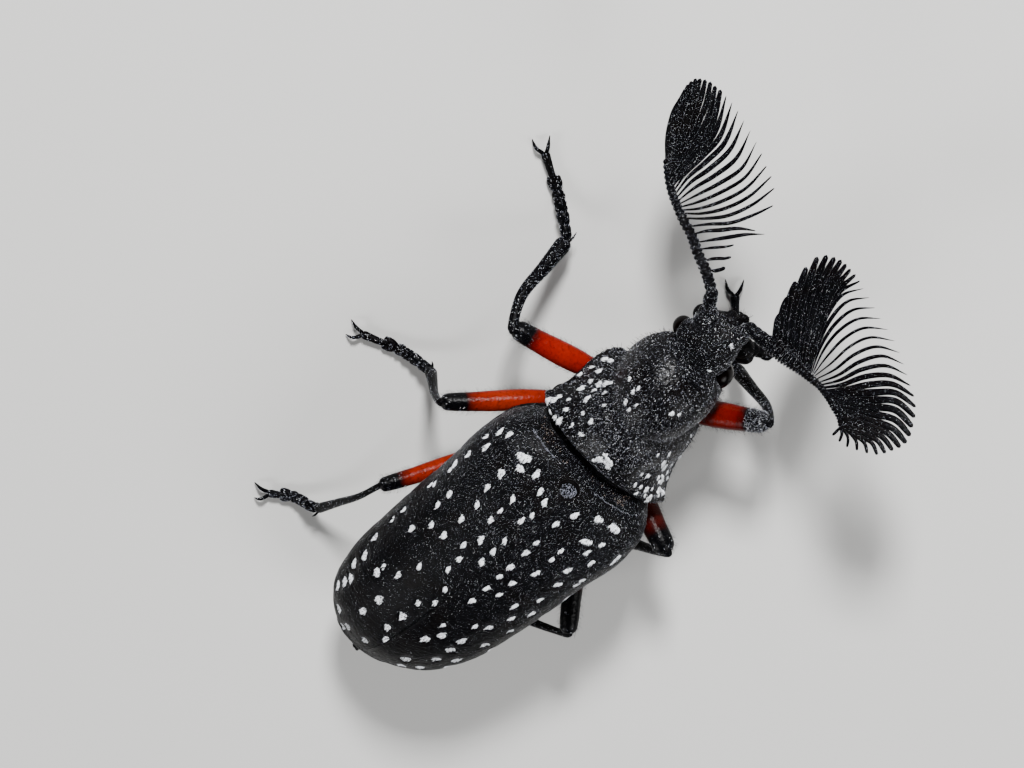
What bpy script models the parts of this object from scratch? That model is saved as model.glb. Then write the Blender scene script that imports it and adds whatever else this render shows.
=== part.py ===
"""Feather-horned beetle, a male, as a still life-size model that stands on the floor.

Metres, +Z up. The beetle faces -Y, its left side is +X, and the floor is at Z = 0.
The solids are plain and faceted, and hold the true outline out to the tips of the feelers.
"""
import math

import bmesh
import bpy
import numpy as np
from mathutils import Matrix, Vector

# All sizes below are in millimetres, and MM turns them into metres.
MM = 0.001

# Gap between pieces that meet, and the distance under which points are one point.
GAP = 0.27
WELD = 0.001

# The trunk is built lengthwise about its own origin, the middle of the wing cases' base,
# and is then lifted off the floor with its head end up.
BODY_LIFT = 4.2
BODY_TILT = math.radians(-5.0)
BODY = Matrix.Translation((0.0, 0.0, BODY_LIFT)) @ Matrix.Rotation(BODY_TILT, 4, "X")

# A station of the trunk: place along the body, half width, height of the widest line,
# top, bottom, and power of the cross-section (2 is an ellipse, less is a sharper edge).
ELYTRA = [
    (0.0, 2.7, 0.3, 2.2, -2.0, 2.3),
    (0.3, 3.3, 0.2, 2.55, -2.0, 2.4),
    (1.3, 3.55, 0.1, 2.95, -2.0, 2.4),
    (4.0, 3.6, 0.0, 3.2, -2.0, 2.3),
    (7.5, 3.55, 0.0, 3.15, -2.0, 2.2),
    (10.5, 3.25, 0.0, 2.6, -2.0, 2.1),
    (12.4, 2.55, 0.0, 1.75, -1.6, 2.0),
    (13.5, 1.55, 0.0, 0.85, -1.0, 2.0),
    (14.0, 0.5, 0.0, 0.25, -0.4, 2.0),
]
ELYTRA_FLOOR = 0.0
TRUNK = [
    (-2.2, 2.0, 0.3, 1.8, -0.9, 2.0),
    (-1.0, 2.4, 0.25, 2.05, -1.4, 2.0),
    (0.4, 3.0, 0.0, 2.2, -2.2, 2.2),
    (2.5, 3.25, -0.2, 2.2, -2.4, 2.2),
    (5.0, 3.25, -0.3, 2.2, -2.1, 2.1),
    (9.0, 3.0, -0.3, 2.0, -1.6, 2.0),
    (12.0, 2.1, -0.3, 1.2, -1.0, 2.0),
    (13.2, 0.9, -0.3, 0.2, -0.6, 2.0),
]
WAIST = 5.0
SHIELD = [
    (-1.2, 2.85, 0.3, 1.95, -0.7, 1.7),
    (-1.6, 2.8, 0.2, 2.3, -1.2, 1.6),
    (-2.4, 2.68, -0.1, 2.5, -1.4, 1.7),
    (-3.2, 2.5, -0.4, 2.4, -1.6, 1.7),
    (-3.9, 2.12, -0.7, 2.2, -1.5, 1.7),
    (-4.5, 1.5, -0.7, 1.6, -1.2, 1.7),
]
# How far the shield's hind corners reach behind the middle of its base.
SHIELD_CORNERS = 0.4
DOME = [
    (-2.4, 1.0, 0.0, 1.8, -1.2, 2.0),
    (-3.4, 1.65, 0.0, 2.3, -1.5, 2.0),
    (-4.4, 1.86, 0.0, 2.5, -1.6, 2.1),
    (-5.4, 1.88, 0.0, 2.35, -1.4, 2.1),
    (-6.2, 1.6, 0.0, 1.75, -1.1, 2.1),
    (-6.6, 1.2, 0.0, 1.15, -0.8, 2.1),
]
HEAD = [
    (-6.2, 0.9, 0.1, 0.9, -0.8, 2.0),
    (-7.0, 1.2, 0.1, 1.25, -1.1, 2.1),
    (-7.8, 1.1, 0.1, 1.15, -1.2, 2.1),
    (-8.4, 0.85, -0.05, 0.8, -1.1, 2.0),
    (-8.8, 0.5, -0.25, 0.2, -0.85, 2.0),
]
SCUTELLUM_Y = 0.35
SCUTELLUM_TOP = 2.75
SCUTELLUM_RADIUS = 0.45
SCUTELLUM_THICK = 0.45

EYE_CENTRE = (1.25, -7.05, 0.05)
EYE_RADIUS = 0.62
TUBERCLE_CENTRE = (0.85, -8.3, 0.5)
TUBERCLE_RADIUS = 0.42
MANDIBLE = [(0.25, -8.65, -0.8), (0.42, -8.95, -1.1), (0.3, -9.05, -1.4), (0.1, -9.0, -1.6)]
MANDIBLE_RADII = [0.3, 0.27, 0.2, 0.1]
PALP = [(0.6, -8.2, -1.2), (1.15, -8.2, -1.55), (1.7, -8.05, -1.6), (2.1, -7.9, -1.45)]
PALP_RADII = [0.26, 0.25, 0.27, 0.2]
# The palps spread unlike amounts to the beetle's left and right.
PALP_SPREAD = {"left": 0.6, "right": -1.0}

# Feelers, in the floor's frame. A ray's place runs from 0, next the scape, to 1 at the end.
RAYS = 15
RAY_THICK = 0.5
RAY_TIP = 0.24
ANTENNAE = {
    "left": dict(
        side=1, scape_end=(1.45, -9.15, 5.5), stem_end=(6.24, -12.0, 5.6), lean=-3.0, bow=-0.1,
        angles=(88.0, 42.0, 27.0), first=0.7, longest=5.15, last=2.5, full=0.46, fade=0.62,
        s_curve=0.06, c_curve=0.0, arch=0.06,
    ),
    "right": dict(
        side=-1, scape_end=(-0.5, -9.1, 5.4), stem_end=(-5.01, -9.44, 7.4), lean=-14.0, bow=0.35,
        angles=(118.0, 68.0, -45.0), first=0.8, longest=4.25, last=0.35, full=0.26, fade=0.6,
        s_curve=0.0, c_curve=0.1, arch=0.06,
    ),
}
SCAPE_SHARES = (0.0, 0.4, 0.8, 1.0)
SCAPE_RADII = (0.26, 0.3, 0.36, 0.3)
STEM_RADII = (0.3, 0.28, 0.26, 0.25, 0.22)
STEM_STEPS = 8
# Shares of the stem where the first and the last ray stand.
FIRST_RAY = 0.1
LAST_RAY = 0.97
# Share of a ray after which it tapers, and the length from which it is drawn with more points.
RAY_TAPER = 0.55
LONG_RAY = 2.0

# Legs, in the floor's frame: hip, knee, ankle and toe, with the femur's greatest radius.
LEGS = {
    "front_left": dict(hip=(1.3, -2.65, 3.2), knee=(5.48, -2.12, 4.0), ankle=(5.81, -4.77, 0.95),
                       toe=(8.5, -6.7, 0.25), thick=0.46),
    "middle_left": dict(hip=(1.9, -0.45, 2.7), knee=(5.37, 2.49, 4.0), ankle=(5.86, 3.4, 0.9),
                        toe=(8.7, 4.5, 0.25), thick=0.4),
    "hind_left": dict(hip=(2.0, 3.2, 2.1), knee=(4.67, 7.05, 4.0), ankle=(5.1, 11.4, 0.95),
                      toe=(6.8, 12.75, 0.25), thick=0.42),
    "front_right": dict(hip=(-1.2, -3.5, 3.2), knee=(-3.65, -6.4, 4.9), ankle=(-2.36, -5.28, 0.95),
                        toe=(-0.4, -7.6, 0.25), thick=0.46),
    "middle_right": dict(hip=(-1.9, 0.2, 2.5), knee=(-4.96, 0.8, 4.6), ankle=(-4.4, 3.6, 0.9),
                         toe=(-3.6, 6.2, 0.25), thick=0.4),
    "hind_right": dict(hip=(-2.0, 3.2, 2.1), knee=(-4.94, 6.56, 4.0), ankle=(-3.0, 9.6, 0.95),
                       toe=(-2.9, 12.3, 0.25), thick=0.42),
}
COXA_RADIUS = 0.75
TIBIA_SHARES = (0.0, 0.3, 0.7, 1.0)
TIBIA_RADII = (0.25, 0.27, 0.3, 0.34)
FEMUR_SHARES = (0.0, 0.35, 0.65, 0.92, 1.0)
FEMUR_SWELL = (0.8, 1.0, 1.0, 0.88, 0.65)
# The tarsus drops from the ankle to its heel, runs level with flats under it, and ends in two claws.
HEEL_STEP = 0.45
HEEL_DROP = 0.3
TARSUS_SEGMENTS = 5
TARSUS_RADIUS = 0.27
TARSUS_HEIGHT = 0.19
TARSUS_LEVEL_SHARE = 0.35
CLAW_LENGTH = 0.75
CLAW_HEIGHT = 0.24
CLAW_RADII = (0.17, 0.14, 0.06)

BLACK = (0.012, 0.012, 0.014)
RED = (0.62, 0.05, 0.012)
EYE_BROWN = (0.03, 0.012, 0.008)


def clear_scene():
    for item in list(bpy.data.objects):
        bpy.data.objects.remove(item, do_unlink=True)
    for mesh in list(bpy.data.meshes):
        bpy.data.meshes.remove(mesh)


def make_material(name, colour, roughness):
    material = bpy.data.materials.new(name)
    material.use_nodes = True
    shader = material.node_tree.nodes["Principled BSDF"]
    shader.inputs["Base Color"].default_value = (*colour, 1.0)
    shader.inputs["Roughness"].default_value = roughness
    shader.inputs["Metallic"].default_value = 0.0
    return material


def new_object(name, mesh, collection, material=None):
    item = bpy.data.objects.new(name, mesh)
    collection.objects.link(item)
    if material is not None:
        mesh.materials.clear()
        mesh.materials.append(material)
    return item


def face_out(bm):
    """Turn a closed mesh's faces outwards."""
    bmesh.ops.recalc_face_normals(bm, faces=bm.faces)
    if bm.calc_volume(signed=True) < 0.0:
        bmesh.ops.reverse_faces(bm, faces=bm.faces)


def mesh_from(bm, name):
    face_out(bm)
    mesh = bpy.data.meshes.new(name)
    bm.to_mesh(mesh)
    bm.free()
    return mesh


def trunk_form(name, stations, grow=0.0, sides=24, rings=14, corners=0.0):
    """A sphere with its poles on the body's long axis, drawn out to the stations.

    The sides of its hind end reach further back than the middle, by corners.
    """
    table = np.array(sorted(stations))
    places = table[:, 0]
    slopes = np.gradient(table[:, 1:], places, axis=0)

    def at(place):
        step = int(np.clip(np.searchsorted(places, place) - 1, 0, len(places) - 2))
        span = places[step + 1] - places[step]
        f = (place - places[step]) / span
        start, end = table[step, 1:], table[step + 1, 1:]
        return (
            (2 * f**3 - 3 * f**2 + 1) * start
            + (f**3 - 2 * f**2 + f) * span * slopes[step]
            + (3 * f**2 - 2 * f**3) * end
            + (f**3 - f**2) * span * slopes[step + 1]
        )

    bm = bmesh.new()
    bmesh.ops.create_uvsphere(bm, u_segments=sides, v_segments=rings, radius=1.0)
    first, last = places[0], places[-1]
    for vert in bm.verts:
        along = (1.0 - vert.co.z) / 2.0
        place = first + (last - first) * along
        half_width, edge, top, bottom, power = at(place)
        ring = math.hypot(vert.co.x, vert.co.y)
        closed = 0.0 if ring < 1e-4 else 1.0
        across = vert.co.x / ring if closed else 0.0
        up = vert.co.y / ring if closed else 0.0
        reach = (top - edge if up > 0 else edge - bottom) + grow
        x = (half_width + grow) * math.copysign(abs(across) ** (2.0 / power), across)
        z = edge + reach * math.copysign(abs(up) ** (2.0 / power), up)
        y = place + grow * (2.0 * along - 1.0) + corners * along**4 * across**2
        vert.co = Vector((x * closed, y, z)) * MM
    return mesh_from(bm, name)


def cut_flat(mesh, point, normal):
    """Cut away what lies on the normal's side of a plane, and close the cut."""
    bm = bmesh.new()
    bm.from_mesh(mesh)
    geometry = bm.verts[:] + bm.edges[:] + bm.faces[:]
    cut = bmesh.ops.bisect_plane(
        bm, geom=geometry, dist=WELD * MM, plane_co=Vector(point) * MM, plane_no=normal, clear_outer=True
    )
    edges = [item for item in cut["geom_cut"] if isinstance(item, bmesh.types.BMEdge)]
    bmesh.ops.holes_fill(bm, edges=edges)
    bmesh.ops.remove_doubles(bm, verts=bm.verts, dist=WELD * MM)
    face_out(bm)
    bm.to_mesh(mesh)
    bm.free()
    return mesh


def ball(name, centre, radius, segments=12, rings=8, stretch=(1.0, 1.0, 1.0)):
    bm = bmesh.new()
    bmesh.ops.create_uvsphere(bm, u_segments=segments, v_segments=rings, radius=radius * MM)
    bmesh.ops.scale(bm, vec=Vector(stretch), verts=bm.verts)
    bmesh.ops.translate(bm, vec=Vector(centre) * MM, verts=bm.verts)
    return mesh_from(bm, name)


def tube(name, points, radii, resolution=2):
    """A round tube along points, with a radius at each, made a closed mesh."""
    curve = bpy.data.curves.new(name, "CURVE")
    curve.dimensions = "3D"
    curve.bevel_depth = MM
    curve.bevel_resolution = resolution
    curve.use_fill_caps = True
    spline = curve.splines.new("POLY")
    spline.points.add(len(points) - 1)
    for point, place, radius in zip(spline.points, points, radii):
        point.co = (*(Vector(place) * MM), 1.0)
        point.radius = radius
    item = bpy.data.objects.new(name, curve)
    bpy.context.scene.collection.objects.link(item)
    bpy.context.view_layer.update()
    depsgraph = bpy.context.evaluated_depsgraph_get()
    mesh = bpy.data.meshes.new_from_object(item.evaluated_get(depsgraph))
    bpy.data.objects.remove(item, do_unlink=True)
    bpy.data.curves.remove(curve)
    bm = bmesh.new()
    bm.from_mesh(mesh)
    bmesh.ops.remove_doubles(bm, verts=bm.verts, dist=WELD * MM)
    face_out(bm)
    bm.to_mesh(mesh)
    bm.free()
    mesh.name = name
    return mesh


def room_for(points, radii, resolution=2):
    """The tube along the same points, grown by the gap all round and at its ends."""
    first = Vector(points[0]) + (Vector(points[0]) - Vector(points[1])).normalized() * GAP
    last = Vector(points[-1]) + (Vector(points[-1]) - Vector(points[-2])).normalized() * GAP
    inner = [Vector(point) for point in points[1:-1]]
    return tube("room", [first] + inner + [last], [radius + GAP for radius in radii], resolution)


def keep_largest(mesh):
    """Keep only the mesh's largest closed surface."""
    bm = bmesh.new()
    bm.from_mesh(mesh)
    bm.verts.ensure_lookup_table()
    seen, shells = set(), []
    for start in bm.verts:
        if start in seen:
            continue
        seen.add(start)
        shell, front = [start], [start]
        while front:
            vert = front.pop()
            for edge in vert.link_edges:
                other = edge.other_vert(vert)
                if other not in seen:
                    seen.add(other)
                    shell.append(other)
                    front.append(other)
        shells.append(shell)
    size = [max((v.co - shell[0].co).length for v in shell) for shell in shells]
    best = size.index(max(size))
    loose = [vert for k, shell in enumerate(shells) if k != best for vert in shell]
    bmesh.ops.delete(bm, geom=loose, context="VERTS")
    bm.to_mesh(mesh)
    bm.free()
    return mesh


def apply_boolean(mesh, operation, others, name, solver="EXACT"):
    """Join others to a mesh, or cut them from it, in one Boolean."""
    scene = bpy.context.scene
    pieces = bpy.data.collections.new("pieces")
    scene.collection.children.link(pieces)
    base = new_object(name, mesh, scene.collection)
    for number, other in enumerate(others):
        new_object(f"piece_{number}", other, pieces)
    modifier = base.modifiers.new("boolean", "BOOLEAN")
    modifier.operation = operation
    modifier.operand_type = "COLLECTION"
    modifier.collection = pieces
    modifier.solver = solver
    if solver == "EXACT":
        modifier.use_self = True
    bpy.context.view_layer.update()
    depsgraph = bpy.context.evaluated_depsgraph_get()
    result = bpy.data.meshes.new_from_object(base.evaluated_get(depsgraph))
    for item in list(pieces.objects) + [base]:
        bpy.data.objects.remove(item, do_unlink=True)
    bpy.data.collections.remove(pieces)
    bm = bmesh.new()
    bm.from_mesh(result)
    bmesh.ops.triangulate(bm, faces=bm.faces)
    bmesh.ops.dissolve_degenerate(bm, edges=bm.edges, dist=WELD * MM)
    bmesh.ops.triangulate(bm, faces=bm.faces)
    bm.to_mesh(result)
    bm.free()
    result.name = name
    return keep_largest(result)


def join(name, meshes, solver="EXACT"):
    return apply_boolean(meshes[0], "UNION", meshes[1:], name, solver)


def cut(mesh, cutters):
    return apply_boolean(mesh, "DIFFERENCE", cutters, mesh.name)


def placed(mesh, matrix=BODY):
    """Put a mesh that is built in the trunk's frame into the floor's frame."""
    lift = matrix.copy()
    lift.translation = lift.translation * MM
    mesh.transform(lift)
    return mesh


def mirrored(point, side):
    """A point carried to a side: 1 keeps it, -1 mirrors it, and less draws it towards the middle."""
    return (point[0] * side, point[1], point[2])


def shield_form(name, grow=0.0):
    return trunk_form(name, SHIELD, grow=grow, corners=SHIELD_CORNERS)


def make_trunk():
    """The trunk's meshes, in the trunk's frame, by node name."""
    wings = cut_flat(trunk_form("elytra", ELYTRA, rings=18), (0, 0, ELYTRA_FLOOR), (0, 0, -1))
    wings_room = trunk_form("elytra_room", ELYTRA, grow=GAP, rings=18)
    wings_room = cut_flat(wings_room, (0, 0, ELYTRA_FLOOR - GAP), (0, 0, -1))
    notch = tube("notch", [(0, SCUTELLUM_Y, -1.0), (0, SCUTELLUM_Y, 5.0)],
                 [SCUTELLUM_RADIUS + GAP] * 2, resolution=4)
    wings = cut(wings, [notch])
    left = cut_flat(wings.copy(), (GAP / 2, 0, 0), (-1, 0, 0))
    right = cut_flat(wings.copy(), (-GAP / 2, 0, 0), (1, 0, 0))

    hind = cut(trunk_form("trunk", TRUNK, rings=18), [wings_room])
    abdomen = cut_flat(hind.copy(), (0, WAIST + GAP / 2, 0), (0, -1, 0))
    thorax = cut_flat(hind, (0, WAIST - GAP / 2, 0), (0, 1, 0))
    disc_bottom = SCUTELLUM_TOP - SCUTELLUM_THICK
    post = tube("post", [(0, SCUTELLUM_Y, -1.2), (0, SCUTELLUM_Y, disc_bottom - GAP)],
                [SCUTELLUM_RADIUS] * 2, resolution=4)
    scutellum = tube("scutellum", [(0, SCUTELLUM_Y, disc_bottom), (0, SCUTELLUM_Y, SCUTELLUM_TOP - 0.15),
                                   (0, SCUTELLUM_Y, SCUTELLUM_TOP)],
                     [SCUTELLUM_RADIUS, SCUTELLUM_RADIUS, SCUTELLUM_RADIUS * 0.6], resolution=4)
    coxae = [coxa_ball(leg) for leg in LEGS if not leg.startswith("front")]
    thorax = join("thorax", [thorax, post] + coxae)

    room = [shield_form("shield_room", grow=GAP), trunk_form("dome_room", DOME, grow=GAP)]
    front_coxae = [coxa_ball(leg) for leg in LEGS if leg.startswith("front")]
    coxa_rooms = [coxa_ball(leg, grow=GAP) for leg in LEGS if leg.startswith("front")]
    pronotum = join("pronotum", [shield_form("shield"), trunk_form("dome", DOME)] + front_coxae)
    thorax = cut(thorax, [room[0], room[1].copy()] + coxa_rooms)

    tubercles = [ball("tubercle", mirrored(TUBERCLE_CENTRE, side), TUBERCLE_RADIUS) for side in (1, -1)]
    head = join("head", [trunk_form("head", HEAD, sides=20, rings=12)] + tubercles)
    eye_room = [ball("eye_room", mirrored(EYE_CENTRE, side), EYE_RADIUS + GAP, 14, 10) for side in (1, -1)]
    head = cut(head, [room[1]] + eye_room)
    eyes = {side: ball("eye", mirrored(EYE_CENTRE, side), EYE_RADIUS, 14, 10) for side in (1, -1)}
    eyes = {side: cut(eye, [room[1].copy()]) for side, eye in eyes.items()}
    return {
        "elytron_left": left, "elytron_right": right, "scutellum": scutellum, "thorax": thorax,
        "abdomen": abdomen, "pronotum": pronotum, "head": head, "eye_left": eyes[1], "eye_right": eyes[-1],
    }


def coxa_ball(leg, grow=0.0):
    """The hip of a leg, in the trunk's frame."""
    hip = BODY.inverted() @ Vector(LEGS[leg]["hip"])
    return ball("coxa", hip, COXA_RADIUS + grow)


def make_mouthparts():
    """Jaws and palps, in the trunk's frame, each standing off the head by the gap."""
    pieces = {}
    room = trunk_form("head_room", HEAD, grow=GAP, sides=20, rings=12)
    for label, side in (("left", 1), ("right", -1)):
        jaw = tube("mandible", [mirrored(p, side) for p in MANDIBLE], MANDIBLE_RADII)
        pieces[f"mandible_{label}"] = cut(jaw, [room.copy()])
        palp = tube("palp", [mirrored(p, PALP_SPREAD[label]) for p in PALP], PALP_RADII)
        pieces[f"palp_{label}"] = cut(palp, [room.copy()])
    return pieces


def ray_length(place, spec):
    """Length of a ray by its place along the stem."""
    grown = 1.0 - max(0.0, 1.0 - place / spec["full"]) ** 2
    faded = (max(0.0, place - spec["fade"]) / (1.0 - spec["fade"])) ** 2
    length = spec["first"] + (spec["longest"] - spec["first"]) * grown
    return length - (spec["longest"] - spec["last"]) * faded


def ray_angle(place, angles):
    """Angle of a ray's chord to the stem, through the first, middle and last ray's angles."""
    first, middle, last = angles
    bend = 2.0 * (first + last) - 4.0 * middle
    return math.radians(first + (last - first - bend) * place + bend * place**2)


def fan_axes(spec):
    """Along the stem, towards the ray tips, and square to the fan."""
    along = (Vector(spec["stem_end"]) - Vector(spec["scape_end"])).normalized()
    level = Vector((0, 0, 1)).cross(along).normalized()
    if level.y > 0:
        level = -level
    square = along.cross(level)
    if square.z < 0:
        square = -square
    lean = math.radians(spec["lean"])
    out = level * math.cos(lean) + square * math.sin(lean)
    return along, out, square * math.cos(lean) - level * math.sin(lean)


def make_antenna(spec):
    """Scape, and the stem with its rays, in the floor's frame."""
    tubercle = BODY @ Vector(mirrored(TUBERCLE_CENTRE, spec["side"]))
    start, end = Vector(spec["scape_end"]), Vector(spec["stem_end"])
    along, out, square = fan_axes(spec)
    chord = (end - start).length

    def stem_point(share):
        return start + along * chord * share + out * spec["bow"] * math.sin(math.pi * share**1.4)

    scape_line = [tubercle.lerp(start, share) for share in SCAPE_SHARES]
    head_room = placed(trunk_form("head_room", HEAD, grow=GAP, sides=20, rings=12))
    scape = cut(tube("scape", scape_line, SCAPE_RADII),
                [ball("room", tubercle, TUBERCLE_RADIUS + GAP), head_room])
    shares = [k / STEM_STEPS for k in range(STEM_STEPS + 1)]
    radii = [float(np.interp(share, np.linspace(0, 1, len(STEM_RADII)), STEM_RADII)) for share in shares]
    pieces = [tube("stem", [stem_point(share) for share in shares], radii)]
    for number in range(RAYS):
        place = number / (RAYS - 1)
        root = stem_point(FIRST_RAY + (LAST_RAY - FIRST_RAY) * place)
        length = ray_length(place, spec)
        angle = ray_angle(place, spec["angles"])
        reach = along * math.cos(angle) + out * math.sin(angle)
        swing = out * math.cos(angle) - along * math.sin(angle)
        steps = 7 if length > LONG_RAY else 4
        points, ray_radii = [], []
        for k in range(steps):
            f = k / (steps - 1)
            bent = spec["c_curve"] * 4 * f * (1 - f) - spec["s_curve"] * math.sin(2 * math.pi * f)
            lift = spec["arch"] * f * f
            points.append(root + (reach * f + swing * bent + square * lift) * length)
            taper = max(0.0, f - RAY_TAPER) / (1.0 - RAY_TAPER)
            ray_radii.append((RAY_THICK + (RAY_TIP - RAY_THICK) * taper) / 2)
        pieces.append(tube("ray", points, ray_radii, resolution=1))
    fan = join("fan", pieces, solver="MANIFOLD")
    return scape, cut(fan, [room_for(scape_line, SCAPE_RADII)])


def trunk_rooms():
    """The trunk's forms grown by the gap, in the floor's frame, which the legs are cut clear of."""
    wings_room = cut_flat(trunk_form("room", ELYTRA, grow=GAP), (0, 0, ELYTRA_FLOOR - GAP), (0, 0, -1))
    others = [trunk_form("room", form, grow=GAP) for form in (TRUNK, DOME)]
    return [placed(room) for room in (wings_room, shield_form("room", grow=GAP), *others)]


def make_leg(spec):
    """Femur, tibia and tarsus of a leg, in the floor's frame."""
    hip, knee, ankle, toe = (Vector(spec[key]) for key in ("hip", "knee", "ankle", "toe"))
    femur_line = [hip.lerp(knee, share) for share in FEMUR_SHARES]
    femur_radii = [spec["thick"] * swell for swell in FEMUR_SWELL]
    femur = cut(tube("femur", femur_line, femur_radii), trunk_rooms() + [ball("room", hip, COXA_RADIUS + GAP)])
    tibia_line = [knee.lerp(ankle, share) for share in TIBIA_SHARES]
    tibia = cut(tube("tibia", tibia_line, TIBIA_RADII), [room_for(femur_line, femur_radii)])

    run = toe - ankle
    level = Vector((run.x, run.y, 0.0)).normalized()
    heel = ankle + level * HEEL_STEP - Vector((0, 0, HEEL_DROP))
    points, radii = [ankle, heel], [TARSUS_RADIUS * 0.8, TARSUS_RADIUS * 0.9]
    for segment in range(TARSUS_SEGMENTS):
        for share, swell in ((0.45, 0.95), (0.9, 1.12)):
            f = (segment + share) / TARSUS_SEGMENTS
            place = heel.lerp(toe, f)
            place.z = heel.z + (TARSUS_HEIGHT - heel.z) * min(1.0, f / TARSUS_LEVEL_SHARE)
            points.append(place)
            radii.append(TARSUS_RADIUS * swell)
    points.append(Vector((toe.x, toe.y, TARSUS_HEIGHT)))
    radii.append(TARSUS_RADIUS * 0.85)
    pieces = [tube("tarsus", points, radii)]
    across = level.cross(Vector((0, 0, 1)))
    for side in (1, -1):
        base = Vector((toe.x, toe.y, CLAW_HEIGHT)) - level * (0.15 + 0.03 * side) + across * 0.07 * side
        hump = base + level * 0.35 + across * 0.2 * side + Vector((0, 0, 0.12))
        tip = base + level * CLAW_LENGTH + across * 0.38 * side - Vector((0, 0, 0.06))
        pieces.append(tube("claw", [base, hump, tip], CLAW_RADII, resolution=1))
    tarsus = cut(join("tarsus", pieces), [room_for(tibia_line, TIBIA_RADII)])
    tarsus = cut_flat(tarsus, (0, 0, 0), (0, 0, -1))
    return femur, tibia, tarsus


def main():
    clear_scene()
    collection = bpy.data.collections.new("feather_horned_beetle")
    bpy.context.scene.collection.children.link(collection)
    black = make_material("cuticle_black", BLACK, 0.6)
    red = make_material("femur_red", RED, 0.4)
    brown = make_material("eye_brown", EYE_BROWN, 0.15)

    nodes = []
    trunk = make_trunk()
    trunk.update(make_mouthparts())
    for name, mesh in trunk.items():
        material = brown if name.startswith("eye") else black
        nodes.append(new_object(name, placed(mesh), collection, material))
    for side, spec in ANTENNAE.items():
        scape, fan = make_antenna(spec)
        nodes.append(new_object(f"antenna_{side}_scape", scape, collection, black))
        nodes.append(new_object(f"antenna_{side}_fan", fan, collection, black))
    for leg, spec in LEGS.items():
        femur, tibia, tarsus = make_leg(spec)
        nodes.append(new_object(f"leg_{leg}_femur", femur, collection, red))
        nodes.append(new_object(f"leg_{leg}_tibia", tibia, collection, black))
        nodes.append(new_object(f"leg_{leg}_tarsus", tarsus, collection, black))

    corners = [node.matrix_world @ vert.co for node in nodes for vert in node.data.vertices]
    low = Vector([min(c[k] for c in corners) for k in range(3)])
    high = Vector([max(c[k] for c in corners) for k in range(3)])
    middle = (low + high) / 2
    for node in nodes:
        node.data.transform(Matrix.Translation((-middle.x, -middle.y, 0.0)))
        node.data.shade_smooth()


main()
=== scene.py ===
"""Looks of a male feather-horned beetle, a still life-size model, on a pale studio floor.

Pieces are modelled in millimetres, in the trunk's frame or the floor's frame, and are laid into
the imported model's frame, in metres, when they are finished.
"""
import math

import bpy
import numpy as np
from bpy.props import FloatProperty, FloatVectorProperty, PointerProperty
from mathutils import Matrix, Vector, noise
from mathutils.bvhtree import BVHTree


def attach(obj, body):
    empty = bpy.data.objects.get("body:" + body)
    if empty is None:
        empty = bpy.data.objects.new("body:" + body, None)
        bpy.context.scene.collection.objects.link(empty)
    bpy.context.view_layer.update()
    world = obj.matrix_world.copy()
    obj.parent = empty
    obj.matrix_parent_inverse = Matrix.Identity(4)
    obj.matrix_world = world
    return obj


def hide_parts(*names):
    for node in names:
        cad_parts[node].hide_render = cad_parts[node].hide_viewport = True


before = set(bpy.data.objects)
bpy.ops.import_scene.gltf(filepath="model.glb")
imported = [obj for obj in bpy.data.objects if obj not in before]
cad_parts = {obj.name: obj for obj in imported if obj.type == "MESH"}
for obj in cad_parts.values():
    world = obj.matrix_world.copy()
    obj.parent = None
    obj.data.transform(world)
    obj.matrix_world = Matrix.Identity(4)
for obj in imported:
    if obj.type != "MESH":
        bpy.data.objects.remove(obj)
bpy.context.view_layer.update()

bl_info = {
    "name": "Feather-horned beetle",
    "version": (1, 0, 0),
    "blender": (4, 5, 0),
    "location": "3D View > Sidebar > Beetle",
    "description": "Models a feather-horned beetle with its coat of pale hairs, and its studio",
    "category": "Add Mesh",
}

MM = 0.001

# The trunk's frame lies on the wing cases' base, is tilted head up, and is lifted off the floor.
BODY_LIFT = 4.2
BODY_TILT = math.radians(-5.0)
SCUTELLUM_Y = 0.35
SIDES = (("left", 1), ("right", -1))
# The directions that most hairs lie in, on the body and on the head.
REARWARDS = np.array((0.0, 1.0, -0.1))
FORWARDS = -REARWARDS
# Seeds of the random draws.
SEEDS = {"wing_cases": 20, "pronotum": 31, "corner": 17, "underbody": 41, "head": 51, "feelers": 61,
         "legs": 71}

# A station: place along the trunk, half width, height of the widest line, top, bottom, and power
# of the cross-section.
ELYTRA = [
    (-0.6, 2.2, 0.7, 1.4, -2.0, 2.3),
    (-0.5, 2.5, 0.75, 1.85, -2.0, 2.3),
    (-0.35, 2.72, 0.8, 2.15, -2.0, 2.3),
    (-0.2, 2.96, 0.9, 2.34, -2.0, 2.3),
    (0.3, 3.4, 1.0, 2.58, -2.0, 2.4),
    (1.3, 3.66, 0.95, 2.95, -2.0, 2.4),
    (4.0, 3.58, 0.8, 3.2, -2.0, 2.3),
    (7.5, 3.47, 0.6, 3.15, -2.0, 2.2),
    (10.4, 3.18, 0.35, 2.6, -2.0, 2.1),
    (12.2, 2.52, 0.1, 1.75, -1.6, 2.0),
    (13.15, 1.66, 0.0, 0.95, -1.0, 2.0),
    (13.6, 0.95, 0.0, 0.5, -0.4, 2.0),
    (13.8, 0.06, 0.0, 0.1, -0.2, 2.0),
]
TRUNK = [
    (-1.3, 2.0, 0.2, 1.4, -0.9, 2.0),
    (-0.6, 2.4, 0.2, 1.5, -1.5, 2.0),
    (0.4, 2.95, 0.0, 2.0, -2.2, 2.2),
    (2.5, 3.0, -0.2, 2.2, -2.4, 2.2),
    (5.0, 2.95, -0.3, 2.2, -2.1, 2.1),
    (9.0, 2.7, -0.3, 2.0, -1.6, 2.0),
    (11.6, 1.7, -0.3, 1.0, -1.0, 2.0),
    (12.4, 0.7, -0.3, 0.1, -0.6, 2.0),
]
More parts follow.
